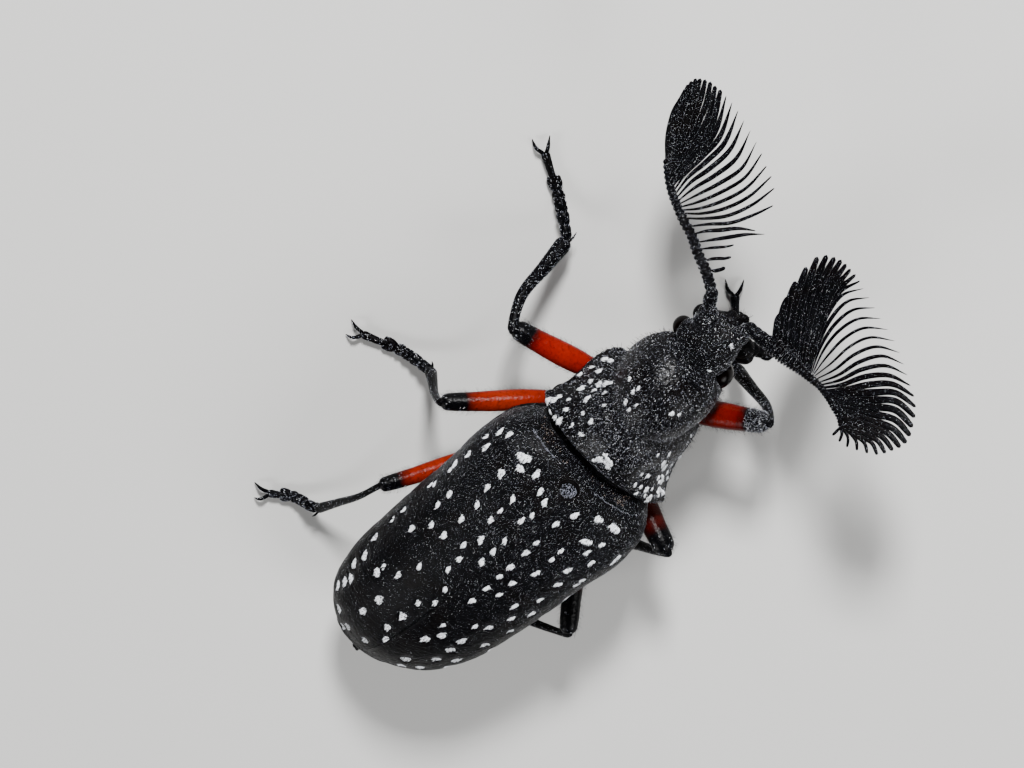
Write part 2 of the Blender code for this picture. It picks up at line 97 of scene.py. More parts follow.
SHIELD = [
    (-1.12, 2.7, 0.3, 1.95, -0.7, 1.7),
    (-1.22, 2.84, 0.27, 2.15, -1.0, 1.6),
    (-1.55, 2.72, 0.2, 2.32, -1.2, 1.6),
    (-2.4, 2.5, -0.1, 2.5, -1.4, 1.7),
    (-3.2, 2.44, -0.4, 2.4, -1.6, 1.7),
    (-3.85, 2.24, -0.6, 2.1, -1.5, 1.7),
    (-4.2, 1.95, -0.65, 1.8, -1.3, 1.8),
    (-4.45, 1.4, -0.7, 1.3, -1.2, 1.8),
]
DOME = [
    (-2.2, 0.8, 0.0, 1.6, -1.0, 2.0),
    (-3.4, 1.6, 0.0, 2.25, -1.5, 2.0),
    (-4.4, 1.84, 0.0, 2.5, -1.6, 2.1),
    (-5.4, 1.88, 0.0, 2.35, -1.4, 2.1),
    (-6.2, 1.62, 0.0, 1.8, -1.1, 2.1),
    (-6.6, 1.3, 0.0, 1.3, -0.9, 2.1),
    (-6.75, 1.0, 0.0, 1.0, -0.7, 2.1),
]
HEAD = [
    (-6.2, 0.9, 0.1, 0.9, -0.8, 2.0),
    (-7.0, 1.15, 0.05, 1.15, -1.0, 2.1),
    (-7.8, 1.02, 0.0, 0.98, -0.95, 2.1),
    (-8.35, 0.8, 0.0, 0.66, -0.7, 2.0),
    (-8.65, 0.5, -0.05, 0.3, -0.45, 2.0),
]
# The pronotum: how far its outer rear corners reach back, how far its rear edge slants, how much
# wider its right rear is, and the power of its cross-section below the widest line.
SHIELD_CORNERS = 0.35
SHIELD_SKEW = -0.06
RIGHT_CORNER = 0.15
FLANK_POWER = 1.15
# How far aside the hind body starts, and how much further its tip swings to the beetle's left.
FRONT_ASIDE = -0.12
REAR_BEND = 0.62
# Each eye's centre and radius, and where its brow stands as a share of the eye's distance aside.
EYES = {"left": (1.2, -7.15, 0.05), "right": (-1.15, -6.54, 0.0)}
EYE_RADIUS = {"left": 0.38, "right": 0.55}
EYE_BROW = {"left": 0.76, "right": 0.5}
# Where the feelers are rooted.
SOCKETS = {"left": (1.0, -8.5, 0.42), "right": (-0.48, -8.6, 0.35)}
SOCKET_RADIUS = 0.38
# Lumps of the cheeks and the upper lip: centre and radius.
CHEEKS = (((-1.0, -7.85, -0.4), 0.5), ((-1.32, -7.58, -0.5), 0.4), ((0.8, -7.85, -0.4), 0.45),
          ((-1.42, -7.95, -0.62), 0.3), ((-1.75, -8.0, -0.75), 0.24))
LABRUM = (((-0.05, -8.48, -0.18), 0.4), ((-0.3, -8.86, -0.36), 0.2), ((0.12, -8.68, -0.32), 0.2))
# White marks between the sockets and beside the right eye: place across and along, length, width
# and turn.
WHITE_DASH = (-0.45, -8.24, 0.2, 0.05, -0.9)
WHITE_DOT = (-0.52, -7.0, 0.09, 0.08, 0.0)
# Radius of the ball at each hip.
COXA_RADIUS = 0.5

# Places of the white spots along each wing case, by their distance from the suture.
SPOT_ROWS = {
    1: {
        0.4: (1.0, 1.7, 3.3, 4.0, 4.7, 7.65, 11.05),
        0.55: (2.15, 6.8),
        0.8: (0.8, 8.25, 9.3, 10.4, 12.2),
        1.05: (4.0, 5.3, 6.0),
        1.35: (0.45, 1.75, 2.45, 3.05, 4.7),
        1.55: (12.6, 13.1),
        1.85: (6.9, 9.6, 10.8),
        2.1: (3.05, 4.0, 5.1, 8.0),
        2.3: (1.4, 2.2, 12.3),
        2.65: (5.3, 8.4, 8.85),
        3.0: (0.35, 3.85, 4.6, 6.2, 10.4, 10.9, 11.5),
        3.3: (0.65, 1.4, 9.1, 9.9),
        3.5: (1.3, 2.3, 3.5, 4.5, 8.3),
        3.55: (3.15, 4.7, 6.4, 7.1),
    },
    -1: {
        0.5: (1.35, 2.45, 3.1, 4.05, 4.7, 5.5, 6.4, 8.3, 9.5),
        0.8: (0.65, 8.8, 11.4),
        1.05: (4.6, 5.4, 12.3),
        1.4: (2.1, 2.65, 3.6, 7.4),
        1.55: (8.5, 9.3, 10.35, 11.6),
        1.85: (5.5, 7.15),
        2.2: (1.55, 2.7, 6.2, 9.9),
        2.4: (1.0, 3.6, 4.7, 8.3, 11.0),
        2.65: (1.9, 5.6, 7.0),
        3.0: (2.95, 3.3, 9.0, 10.2),
        3.35: (1.35, 1.6, 4.6, 6.1, 7.6, 8.6),
    },
}
# The large spots behind the shoulders: place across and along, length, width and turn.
SHOULDER_SPOTS = (
    (2.1, 0.38, 0.62, 0.3, 1.1), (1.93, 0.75, 0.36, 0.22, 1.4), (-2.3, 0.25, 0.5, 0.28, 1.57),
    (-1.6, 0.25, 0.34, 0.22, 1.5), (-1.86, 1.2, 0.48, 0.2, 1.25),
)

# White patches of the pronotum: place across and along, and radius.
PRONOTUM_PATCHES = (
    (0.12, -1.72, 0.24), (-0.2, -1.95, 0.24), (0.1, -2.15, 0.12), (-0.35, -1.72, 0.12),
    (2.72, -1.15, 0.25), (2.55, -1.42, 0.2), (2.4, -1.05, 0.17), (2.5, -1.65, 0.12), (2.75, -1.7, 0.12),
    (2.2, -1.2, 0.13), (2.0, -1.3, 0.15), (2.1, -1.75, 0.13), (2.25, -2.0, 0.08), (1.6, -1.65, 0.1),
    (1.2, -1.85, 0.14), (1.65, -2.35, 0.1), (1.3, -2.55, 0.13), (1.88, -2.75, 0.17), (2.2, -2.65, 0.17),
    (2.45, -2.6, 0.14), (2.15, -3.1, 0.1), (1.9, -3.15, 0.1), (2.35, -3.2, 0.12), (1.9, -3.4, 0.14),
    (1.75, -3.65, 0.15), (1.65, -3.85, 0.1), (1.6, -3.5, 0.09), (2.15, -3.5, 0.14), (2.2, -3.75, 0.17),
    (2.05, -3.95, 0.14), (2.45, -3.45, 0.12), (1.35, -3.3, 0.08), (1.45, -4.9, 0.1), (1.1, -4.85, 0.1),
    (1.05, -5.1, 0.12), (1.0, -4.3, 0.13), (0.75, -4.25, 0.1), (0.7, -4.65, 0.07), (-0.45, -5.35, 0.11),
    (-0.7, -5.45, 0.07), (-1.6, -2.05, 0.09), (-1.87, -2.0, 0.12), (-1.75, -1.45, 0.1),
    (-2.25, -1.4, 0.11), (-2.0, -2.7, 0.17), (-2.2, -2.45, 0.14), (-1.45, -3.15, 0.07),
    (-1.85, -3.2, 0.1), (-2.3, -3.4, 0.12), (-2.15, -3.75, 0.08), (-2.65, -1.0, 0.16),
    (-2.75, -1.35, 0.15), (-2.6, -1.7, 0.12), (-2.5, -2.1, 0.1), (-2.55, -2.6, 0.1), (-2.05, -1.15, 0.08),
    (-3.0, -1.2, 0.14), (-3.0, -1.55, 0.12), (-2.9, -1.9, 0.11), (-2.75, -2.3, 0.09), (-2.4, -1.15, 0.09),
)
# A patch is about this many times as long as its radius, and narrower.
PATCH_SIZE = 1.75
# Small white specks strewn over the pronotum's right rear corner: how many, and length and width.
CORNER_SPECKS = 24
CORNER_SPECK = (0.14, 0.09)

# Each feeler's rays, numbered from its scape, lie in its own plane. A guide ray has its number,
# then five places from its root to its tip, along and out of the line from scape_end to stem_end.
# The rays between follow from them. A blade has its ray's number, its width, how far it is
# turned out of the plane in degrees, and how blunt its tip is. A bead has its place and radius.
FANS = {
    "left": dict(
        side=1, scape_end=(1.45, -9.15, 5.5), stem_end=(6.24, -12.0, 5.6), lean=-3.0, rays=27,
        stem=((0.1, 0.05), (0.6, 0.1), (1.1, 0.1), (1.8, 0.05), (2.55, 0.05), (3.2, -0.05), (3.9, -0.1),
              (4.6, -0.1), (5.3, 0.0), (5.75, 0.1)),
        girth=(0.2, 0.2, 0.19, 0.18, 0.17, 0.16, 0.14, 0.1),
        beads=((0.05, 0.05, 0.24), (0.36, 0.08, 0.22), (0.68, 0.1, 0.21), (1.0, 0.12, 0.2)),
        guides=(
            (0, 0.95, 0.3, 0.9, 0.45, 0.9, 0.55, 0.9, 0.7, 0.95, 0.85),
            (1, 1.4, 0.25, 1.4, 0.5, 1.35, 0.75, 1.3, 0.95, 1.3, 1.2),
            (2, 1.9, 0.2, 1.85, 0.55, 1.8, 0.85, 1.75, 1.15, 1.75, 1.45),
            (3, 2.2, 0.1, 2.15, 0.75, 2.1, 1.4, 2.05, 2.05, 1.9, 2.7),
            (4, 2.55, 0.1, 2.55, 0.6, 2.45, 1.15, 2.35, 1.8, 2.1, 2.4),
            (5, 2.9, 0.05, 2.8, 0.8, 2.65, 1.6, 2.75, 2.5, 2.95, 3.35),
            (6, 3.25, 0.05, 3.05, 0.75, 2.95, 1.6, 3.15, 2.6, 3.6, 3.6),
            (8, 3.6, 0.0, 3.5, 0.75, 3.6, 1.7, 3.9, 2.65, 4.55, 3.6),
            (10, 3.85, -0.05, 4.05, 0.75, 4.3, 1.7, 4.7, 2.7, 5.6, 3.55),
            (12, 4.1, -0.05, 4.6, 0.7, 4.95, 1.55, 5.5, 2.5, 6.5, 3.35),
            (14, 4.45, 0.0, 5.0, 0.65, 5.5, 1.45, 6.1, 2.3, 7.3, 3.15),
            (16, 4.75, 0.0, 5.35, 0.75, 6.0, 1.55, 6.75, 2.25, 7.9, 2.9),
            (18, 4.95, 0.05, 5.85, 0.75, 6.6, 1.5, 7.4, 2.15, 8.3, 2.65),
            (20, 5.15, 0.0, 6.15, 0.75, 7.1, 1.4, 7.9, 1.95, 8.55, 2.35),
            (22, 5.3, 0.05, 6.45, 0.65, 7.4, 1.25, 8.05, 1.7, 8.5, 2.0),
            (26, 5.7, 0.1, 6.6, 0.45, 7.25, 0.8, 7.6, 1.05, 7.9, 1.35),
        ),
        blades=(
            (0, 0.17, 0, 1.0), (2, 0.12, 20, 0.6), (3, 0.17, 10, 0.0), (5, 0.18, 62, 0.5), (9, 0.18, 58, 0.5),
            (10, 0.18, 42, 0.0), (12, 0.21, 12, 0.0), (15, 0.25, 10, 0.1), (16, 0.27, 15, 1.0),
            (22, 0.25, 18, 1.0), (26, 0.2, 18, 1.0),
        ),
    ),
    "right": dict(
        side=-1, scape_end=(-0.5, -9.1, 5.4), stem_end=(-5.01, -9.44, 7.4), lean=-14.0, rays=37,
        stem=((0.3, 0.0), (0.8, 0.1), (1.2, 0.22), (1.85, 0.3), (2.4, 0.35), (2.95, 0.4), (3.4, 0.45),
              (3.9, 0.4), (4.35, 0.3), (4.75, 0.2), (5.05, 0.0)),
        girth=(0.24, 0.26, 0.33, 0.32, 0.24, 0.17, 0.14, 0.13, 0.12, 0.12, 0.1),
        beads=((0.05, 0.0, 0.26), (0.32, 0.03, 0.27), (0.58, 0.07, 0.28), (0.84, 0.12, 0.29)),
        guides=(
            (0, 1.2, 0.25, 0.95, 0.45, 0.75, 0.7, 0.55, 0.95, 0.45, 1.25),
            (2, 1.65, 0.35, 1.15, 0.75, 0.7, 1.25, 0.3, 1.85, 0.0, 2.5),
            (4, 2.15, 0.4, 1.45, 1.15, 0.8, 1.95, 0.35, 2.85, -0.05, 3.75),
            (6, 2.4, 0.45, 1.75, 1.3, 1.2, 2.2, 0.7, 3.2, 0.4, 4.2),
            (9, 2.6, 0.5, 2.1, 1.35, 1.6, 2.3, 1.25, 3.3, 1.15, 4.35),
            (12, 2.75, 0.5, 2.2, 1.4, 1.75, 2.4, 1.6, 3.4, 2.0, 4.2),
            (15, 2.9, 0.55, 2.55, 1.5, 2.45, 2.4, 2.65, 3.25, 3.25, 3.9),
            (17, 3.0, 0.55, 3.1, 1.35, 3.15, 2.3, 3.45, 3.1, 4.2, 3.7),
            (19, 3.25, 0.45, 3.6, 1.25, 3.8, 2.15, 4.25, 2.95, 5.05, 3.35),
            (21, 3.45, 0.4, 3.95, 1.1, 4.35, 1.95, 4.95, 2.65, 5.8, 3.0),
            (23, 3.8, 0.45, 4.4, 1.1, 5.0, 1.8, 5.6, 2.4, 6.5, 2.6),
            (25, 4.05, 0.4, 4.7, 0.9, 5.35, 1.4, 6.05, 1.95, 6.95, 2.0),
            (27, 4.3, 0.35, 4.95, 0.7, 5.7, 1.05, 6.45, 1.4, 7.2, 1.4),
            (29, 4.5, 0.3, 5.2, 0.45, 5.8, 0.7, 6.45, 0.9, 7.05, 0.85),
            (31, 4.75, 0.2, 5.3, 0.25, 5.8, 0.3, 6.3, 0.45, 6.75, 0.3),
            (33, 4.9, 0.1, 5.25, 0.1, 5.55, 0.1, 5.85, 0.05, 6.1, -0.15),
            (34, 4.95, 0.1, 5.25, 0.0, 5.45, -0.05, 5.6, -0.15, 5.75, -0.35),
            (36, 5.05, 0.05, 5.05, -0.15, 5.05, -0.25, 5.05, -0.35, 5.05, -0.45),
        ),
        blades=(
            (0, 0.3, 18, 1.0), (2, 0.36, 18, 1.0), (6, 0.36, 18, 1.0), (10, 0.3, 15, 0.6), (12, 0.2, 15, 0.0),
            (15, 0.18, 38, 0.0), (17, 0.18, 48, 0.0), (20, 0.2, 20, 0.0), (22, 0.28, 12, 0.4),
            (25, 0.31, 12, 1.0), (28, 0.28, 15, 1.0), (31, 0.19, 15, 1.0), (34, 0.13, 0, 1.0),
            (36, 0.13, 0, 1.0),
        ),
    ),
}
# How much each ray curves out of its fan's plane.
CUP = 0.02

# Legs, in the floor's frame: hip, knee, ankle and toe, the femur's greatest radius, how far the
# tibia bows out, and how thick it is beside the others.
LEGS = {
    "front_left": dict(hip=(1.3, -2.65, 3.2), knee=(5.48, -2.0, 4.0), ankle=(5.81, -4.77, 0.95),
                       toe=(8.69, -6.6, 0.25), thick=0.46, bow=(0.36, 0.0, 0.05), slim=1.0),
    "middle_left": dict(hip=(1.9, -0.45, 2.7), knee=(5.37, 2.49, 4.0), ankle=(5.86, 3.4, 0.9),
                        toe=(8.7, 4.5, 0.25), thick=0.4, bow=(0.05, 0.1, 0.0), slim=0.8),
    "hind_left": dict(hip=(2.0, 3.2, 2.1), knee=(4.67, 7.05, 4.0), ankle=(5.1, 11.4, 0.95),
                      toe=(6.8, 12.75, 0.25), thick=0.35, bow=(0.0, 0.0, 0.28), slim=0.62),
    "front_right": dict(hip=(-1.2, -3.5, 3.2), knee=(-3.82, -6.38, 4.85), ankle=(-2.36, -5.28, 0.95),
                        toe=(-0.42, -7.28, 0.25), thick=0.5, bow=(-0.2, -0.2, 0.0), slim=0.95),
    "middle_right": dict(hip=(-1.9, 0.2, 2.5), knee=(-4.96, 0.8, 4.6), ankle=(-4.4, 3.6, 0.9),
                         toe=(-3.6, 6.2, 0.25), thick=0.5, bow=(-0.1, 0.0, 0.0), slim=0.8),
    "hind_right": dict(hip=(-2.0, 3.2, 2.1), knee=(-4.8, 6.7, 4.0), ankle=(-3.0, 9.6, 0.95),
                       toe=(-2.75, 11.95, 0.25), thick=0.42, bow=(-0.1, 0.0, 0.0), slim=0.7),
}

# The camera looks at TARGET along VIEW, with UP for the picture's height; all in the floor's frame.
TARGET = (0.0, 3.0, 4.0)
VIEW = (0.2079, -0.4718, 0.8569)
UP = (0.6301, -0.6054, -0.4862)
CAMERA_DISTANCE = 190.0
PIXELS_WIDE = 1024
FOCAL_PIXELS = 4946.0
PICTURE_OFFSET = (24.7, 114.8)
SENSOR_WIDTH = 36.0


def deselect():
    if bpy.context.mode != "OBJECT":
        bpy.ops.object.mode_set(mode="OBJECT")
    bpy.ops.object.select_all(action="DESELECT")


def frame_shift():
    """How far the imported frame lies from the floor's frame, in millimetres, read off the scutellum."""
    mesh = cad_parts["scutellum"].data
    centre = np.mean([tuple(vert.co) for vert in mesh.vertices], axis=0) / MM
    trunk_z = (centre[2] - BODY_LIFT - SCUTELLUM_Y * math.sin(BODY_TILT)) / math.cos(BODY_TILT)
    y = SCUTELLUM_Y * math.cos(BODY_TILT) - trunk_z * math.sin(BODY_TILT)
    return np.array((-centre[0], y - centre[1], 0.0))


SHIFT = frame_shift()


def to_floor(points):
    """Points of the trunk's frame in the floor's frame."""
    points = np.atleast_2d(np.asarray(points, float))
    cos, sin = math.cos(BODY_TILT), math.sin(BODY_TILT)
    x, y, z = points[:, 0], points[:, 1], points[:, 2]
    return np.stack([x, y * cos - z * sin, y * sin + z * cos + BODY_LIFT], axis=1)


def to_trunk(points):
    """Points of the floor's frame in the trunk's frame."""
    points = np.atleast_2d(np.asarray(points, float)) - (0.0, 0.0, BODY_LIFT)
    cos, sin = math.cos(BODY_TILT), math.sin(BODY_TILT)
    x, y, z = points[:, 0], points[:, 1], points[:, 2]
    return np.stack([x, y * cos + z * sin, z * cos - y * sin], axis=1)


def unit(vectors):
    vectors = np.asarray(vectors, float)
    return vectors / np.maximum(np.linalg.norm(vectors, axis=-1, keepdims=True), 1e-9)


def swell(values, centre, width):
    """A smooth bump: 1 where a value is at the centre, and falling off over the width."""
    return np.exp(-(((values - centre) / width) ** 2))


def points_of(item):
    points = np.empty(len(item.data.vertices) * 3)
    item.data.vertices.foreach_get("co", points)
    return points.reshape(-1, 3)


def normals_of(item):
    normals = np.empty(len(item.data.vertices) * 3)
    item.data.vertices.foreach_get("normal", normals)
    return normals.reshape(-1, 3)


def move_points(item, points):
    item.data.vertices.foreach_set("co", np.ascontiguousarray(points, dtype=float).ravel())
    item.data.update()


PRIMITIVES = {}


def sphere_arrays(sides, rings):
    """Points and faces of a sphere primitive, kept for the pieces that are drawn from it."""
    key = ("sphere", sides, rings)
    if key not in PRIMITIVES:
        deselect()
        bpy.ops.mesh.primitive_uv_sphere_add(segments=sides, ring_count=rings, radius=1.0)
        item = bpy.context.object
        faces = [tuple(face.vertices) for face in item.data.polygons]
        PRIMITIVES[key] = (points_of(item), faces)
        bpy.data.objects.remove(item)
    return PRIMITIVES[key]


class Gathered:
    """Points and faces of many pieces, gathered for one joined mesh."""

    def __init__(self):
        self.points, self.faces, self.shares, self.count = [], [], [], 0

    def add(self, points, faces, shares=None):
        self.faces += [tuple(corner + self.count for corner in face) for face in faces]
        self.points.append(np.asarray(points, float))
        self.shares.append(np.zeros(len(points)) if shares is None else shares)
        self.count += len(points)
        return self

    def item(self, name):
        mesh = bpy.data.meshes.new(name)
        mesh.from_pydata(np.concatenate(self.points), [], self.faces)
        shares = mesh.attributes.new("share", "FLOAT", "POINT")
        shares.data.foreach_set("value", np.concatenate(self.shares))
        mesh.update()
        item = bpy.data.objects.new(name, mesh)
        bpy.context.scene.collection.objects.link(item)
        return item


def select(item):
    deselect()
    bpy.context.view_layer.objects.active = item
    item.select_set(True)


def apply_modifier(item, kind, **settings):
    select(item)
    modifier = item.modifiers.new("step", kind)
    for name, value in settings.items():
        setattr(modifier, name, value)
    bpy.ops.object.modifier_apply(modifier=modifier.name)


def join_pieces(items, name):
    deselect()
    for item in items:
        item.select_set(True)
    bpy.context.view_layer.objects.active = items[0]
    bpy.ops.object.join()
    items[0].name = name
    return items[0]


def face_out(item):
    select(item)
    bpy.ops.object.mode_set(mode="EDIT")
    bpy.ops.mesh.select_all(action="SELECT")
    bpy.ops.mesh.normals_make_consistent(inside=False)
    bpy.ops.object.mode_set(mode="OBJECT")


def finish(item, material, replaces=(), trunk=True):
    """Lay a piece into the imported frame, dress it, and fix it to the model.

    trunk says that it was modelled in the trunk's frame, and not in the floor's.
    """
    points = points_of(item)
    if trunk:
        points = to_floor(points)
    move_points(item, (points - SHIFT) * MM)
    item.data.materials.clear()
    item.data.materials.append(dress(material))
    item.data.shade_smooth()
    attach(item, "root")
    if replaces:
        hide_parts(*replaces)


def profile(stations, places):
    """Half width, edge, top, bottom and power at places along a form, smoothly between stations."""
    table = np.array(sorted(stations))
    keys = table[:, 0]
    slopes = np.gradient(table[:, 1:], keys, axis=0)
    places = np.clip(places, keys[0], keys[-1])
    step = np.clip(np.searchsorted(keys, places) - 1, 0, len(keys) - 2)
    span = (keys[step + 1] - keys[step])[:, None]
    f = ((places - keys[step])[:, None]) / span
    start, end = table[step, 1:], table[step + 1, 1:]
    return (
        (2 * f**3 - 3 * f**2 + 1) * start + (f**3 - 2 * f**2 + f) * span * slopes[step]
        + (3 * f**2 - 2 * f**3) * end + (f**3 - f**2) * span * slopes[step + 1]
    )


# A form's skin is sought between its long axis and WIDEST, by halving that span HALVINGS times.
WIDEST = 6.0
HALVINGS = 26


def reach_of(stations, places, across, up, flank=None):
    """How far a form's skin lies from the long axis, along directions in its cross-section.

    flank is the power of the cross-section below the widest line, if it is another one there.
    """
    half_width, edge, top, bottom, power = profile(stations, places).T
    near, far = np.zeros(len(places)), np.full(len(places), WIDEST)
    for _ in range(HALVINGS):
        middle = (near + far) / 2
        height = middle * up - edge
        room = np.where(height > 0, top - edge, edge - bottom)
        bend = np.where(height > 0, power, flank or power)
        inside = (np.abs(middle * across) / half_width) ** bend + (np.abs(height) / room) ** bend < 1
        near, far = np.where(inside, middle, near), np.where(inside, far, middle)
    keys = sorted(station[0] for station in stations)
    return np.where((places < keys[0]) | (places > keys[-1]), 0.0, near)


def form_points(forms, sides, rings, blend=14.0, corners=0.0, flank=None):
    """A sphere drawn out to the smooth union of forms along the trunk."""
    sphere, faces = sphere_arrays(sides, rings)
    first = min(station[0] for form in forms for station in form)
    last = max(station[0] for form in forms for station in form)
    along = 1.0 - np.arccos(np.clip(sphere[:, 2], -1, 1)) / math.pi
    ring = np.hypot(sphere[:, 0], sphere[:, 1])
    pole = ring < 1e-4
    across = np.where(pole, 0.0, -sphere[:, 0] / np.maximum(ring, 1e-9))
    up = np.where(pole, 1.0, sphere[:, 1] / np.maximum(ring, 1e-9))
    end = np.clip(np.minimum(along, 1.0 - along) * rings, 0.0, 1.0)
    places = first + (last - first) * np.clip((along - 1.0 / rings) / (1.0 - 2.0 / rings), 0.0, 1.0)
    reaches = [reach_of(form, places, across, up, flank) for form in forms]
    reach = np.log(sum(np.exp(blend * reach) for reach in reaches)) / blend
    reach = np.where(pole, 0.0, reach * np.where(end < 0.99, 0.9, 1.0))
    y = places + corners * along**4 * across**2
    return np.stack([reach * across, y, reach * up], axis=1), faces


def smooth_line(points, steps):
    """Points on one smooth curve through the given ones."""
    given = np.asarray(points, float)
    knots = np.vstack([2 * given[0] - given[1], given, 2 * given[-1] - given[-2]])
    spans = len(given) - 1
    place = np.linspace(0, spans, steps)
    k = np.minimum(place.astype(int), spans - 1)
    f = (place - k)[:, None]
    a, b, c, d = knots[k], knots[k + 1], knots[k + 2], knots[k + 3]
    return 0.5 * (2 * b + (c - a) * f + (2 * a - 5 * b + 4 * c - d) * f**2 + (3 * b - a - 3 * c + d) * f**3)


def drawn(points, radii, sides=12, rings=18, thin=1.0, flat=None, steps=60, blunt=1.0):
    """A sphere drawn along a smooth line: a closed limb with round ends.

    Its radii are spread evenly along it. thin scales its thickness along the direction flat.
    """
    line = smooth_line(points, steps)
    step_lengths = np.linalg.norm(np.diff(line, axis=0), axis=1)
    length = np.concatenate([[0.0], np.cumsum(step_lengths)])
    total = length[-1]
    tangents = unit(np.gradient(line, axis=0))
    guide = np.array(flat if flat is not None else (0.0, 0.0, 1.0), float)
    if flat is None and abs(tangents[:, 2]).max() > 0.97:
        guide = np.array((0.13, 0.99, 0.0))
    ups = unit(guide - (tangents @ guide)[:, None] * tangents)
    sides_at = np.cross(ups, tangents)
    sphere, faces = sphere_arrays(sides, rings)
    turn = 1.0 - np.arccos(np.clip(sphere[:, 2], -1, 1)) / math.pi
    share = 0.6 * turn + 0.4 * (1 - np.cos(math.pi * turn)) / 2
    ring = np.hypot(sphere[:, 0], sphere[:, 1])
    x = sphere[:, 0] / np.maximum(ring, 1e-9)
    y = sphere[:, 1] / np.maximum(ring, 1e-9)
    radius = np.interp(share, np.linspace(0, 1, len(radii)), radii)
    cap = np.minimum(share, 1 - share) * total / np.maximum(radius * blunt, 1e-9)
    radius = np.where(ring < 1e-4, 0.0, radius * np.sqrt(np.clip(1 - (1 - np.minimum(cap, 1)) ** 2, 0, 1)))

    def at(values):
        return np.stack([np.interp(share * total, length, values[:, k]) for k in range(3)], axis=1)

    places = at(line) + at(sides_at) * (radius * x)[:, None] + at(ups) * (radius * y * thin)[:, None]
    return places, faces, share


def ball_points(centre, radius, sides=24, rings=16, stretch=(1.0, 1.0, 1.0)):
    sphere, faces = sphere_arrays(sides, rings)
    return np.asarray(centre) + sphere * radius * np.asarray(stretch), faces


def ball(name, *shape):
    return Gathered().add(*ball_points(*shape)).item(name)


def limb(name, points, radii, sides, rings, **ways):
    return Gathered().add(*drawn(points, radii, sides, rings, **ways)).item(name)


def pits(points, spacing, seed):
    """How deep each point lies in a field of small round pits, from 0 to 1."""
    depth = np.empty(len(points))
    for k, point in enumerate(points):
        near = noise.voronoi(Vector(point / spacing) + Vector((seed, 0.0, 0.0)))[0][0]
        depth[k] = max(0.0, 1.0 - near / 0.45)
    return depth


def press(item, depth):
    """Move a piece's points inwards, by a depth at each."""
    move_points(item, points_of(item) - normals_of(item) * depth[:, None])


class Skin:
    """A piece's outer surface, on which hairs are rooted."""

    def __init__(self, item):
        mesh = item.data
        mesh.calc_loop_triangles()
        corners = np.empty(len(mesh.loop_triangles) * 3, int)
        mesh.loop_triangles.foreach_get("vertices", corners)
        self.points = points_of(item)
        self.triangles = corners.reshape(-1, 3)
        self.tree = BVHTree.FromPolygons(self.points.tolist(), self.triangles.tolist())
        low, high = self.points.min(0), self.points.max(0)
        self.middle, self.low, self.span = (low + high) / 2, low, high - low
        self.long_axis = int(np.argmax(self.span))

    def scatter(self, count, rng, where=None):
        """Roots and normals spread evenly over the surface, kept where a rule is above chance."""
        a, b, c = (self.points[self.triangles[:, k]] for k in range(3))
        square = np.cross(b - a, c - a)
        area = np.linalg.norm(square, axis=1)
        picked = rng.choice(len(area), count, p=area / area.sum())
        u, v = rng.random(count), rng.random(count)
        u, v = np.where(u + v > 1, 1 - u, u), np.where(u + v > 1, 1 - v, v)
        roots = a[picked] + (b - a)[picked] * u[:, None] + (c - a)[picked] * v[:, None]
        normals = unit(square[picked])
        if where is not None:
            kept = where(roots, normals) > rng.random(count)
            roots, normals = roots[kept], normals[kept]
        return roots, normals

    def drop(self, x, y):
        """Where plumb lines at x and y meet the surface from above, with the normals there."""
        roots, normals = [], []
        for across, along in zip(x, y):
            place, normal, _, _ = self.tree.ray_cast(Vector((across, along, 20.0)), Vector((0, 0, -1)))
            if place is not None:
                roots.append(place)
                normals.append(normal)
        return np.array(roots).reshape(-1, 3), np.array(normals).reshape(-1, 3)

    def nearest(self, places):
        """The surface's nearest points to given ones, with the normals there."""
        found = [self.tree.find_nearest(Vector(place)) for place in places]
        return np.array([near[0] for near in found]), np.array([near[1] for near in found])

    def unwrap(self, roots):
        """Places on an unwrap round the piece's long axis."""
        others = [k for k in range(3) if k != self.long_axis]
        offset = roots - self.middle
        u = 0.5 + np.arctan2(offset[:, others[0]], offset[:, others[1]]) / (2 * math.pi)
        v = (roots[:, self.long_axis] - self.low[self.long_axis]) / self.span[self.long_axis]
        return np.stack([0.02 + 0.96 * u, 0.02 + 0.96 * v], axis=1)


# Half the width of a hair's patch in its UV map, and a hair's faces, with a bend and without one.
BAKE_PATCH = 0.0015
BENT_FACES = ((1, 0, 2), (0, 1, 4), (0, 4, 3), (1, 2, 5), (1, 5, 4), (2, 0, 3), (2, 3, 5), (3, 4, 6),
              (4, 5, 6), (5, 3, 6))
PLAIN_FACES = ((1, 0, 2), (0, 1, 3), (1, 2, 3), (2, 0, 3))
# How deep a hair is rooted under the skin.
SINK = 0.012


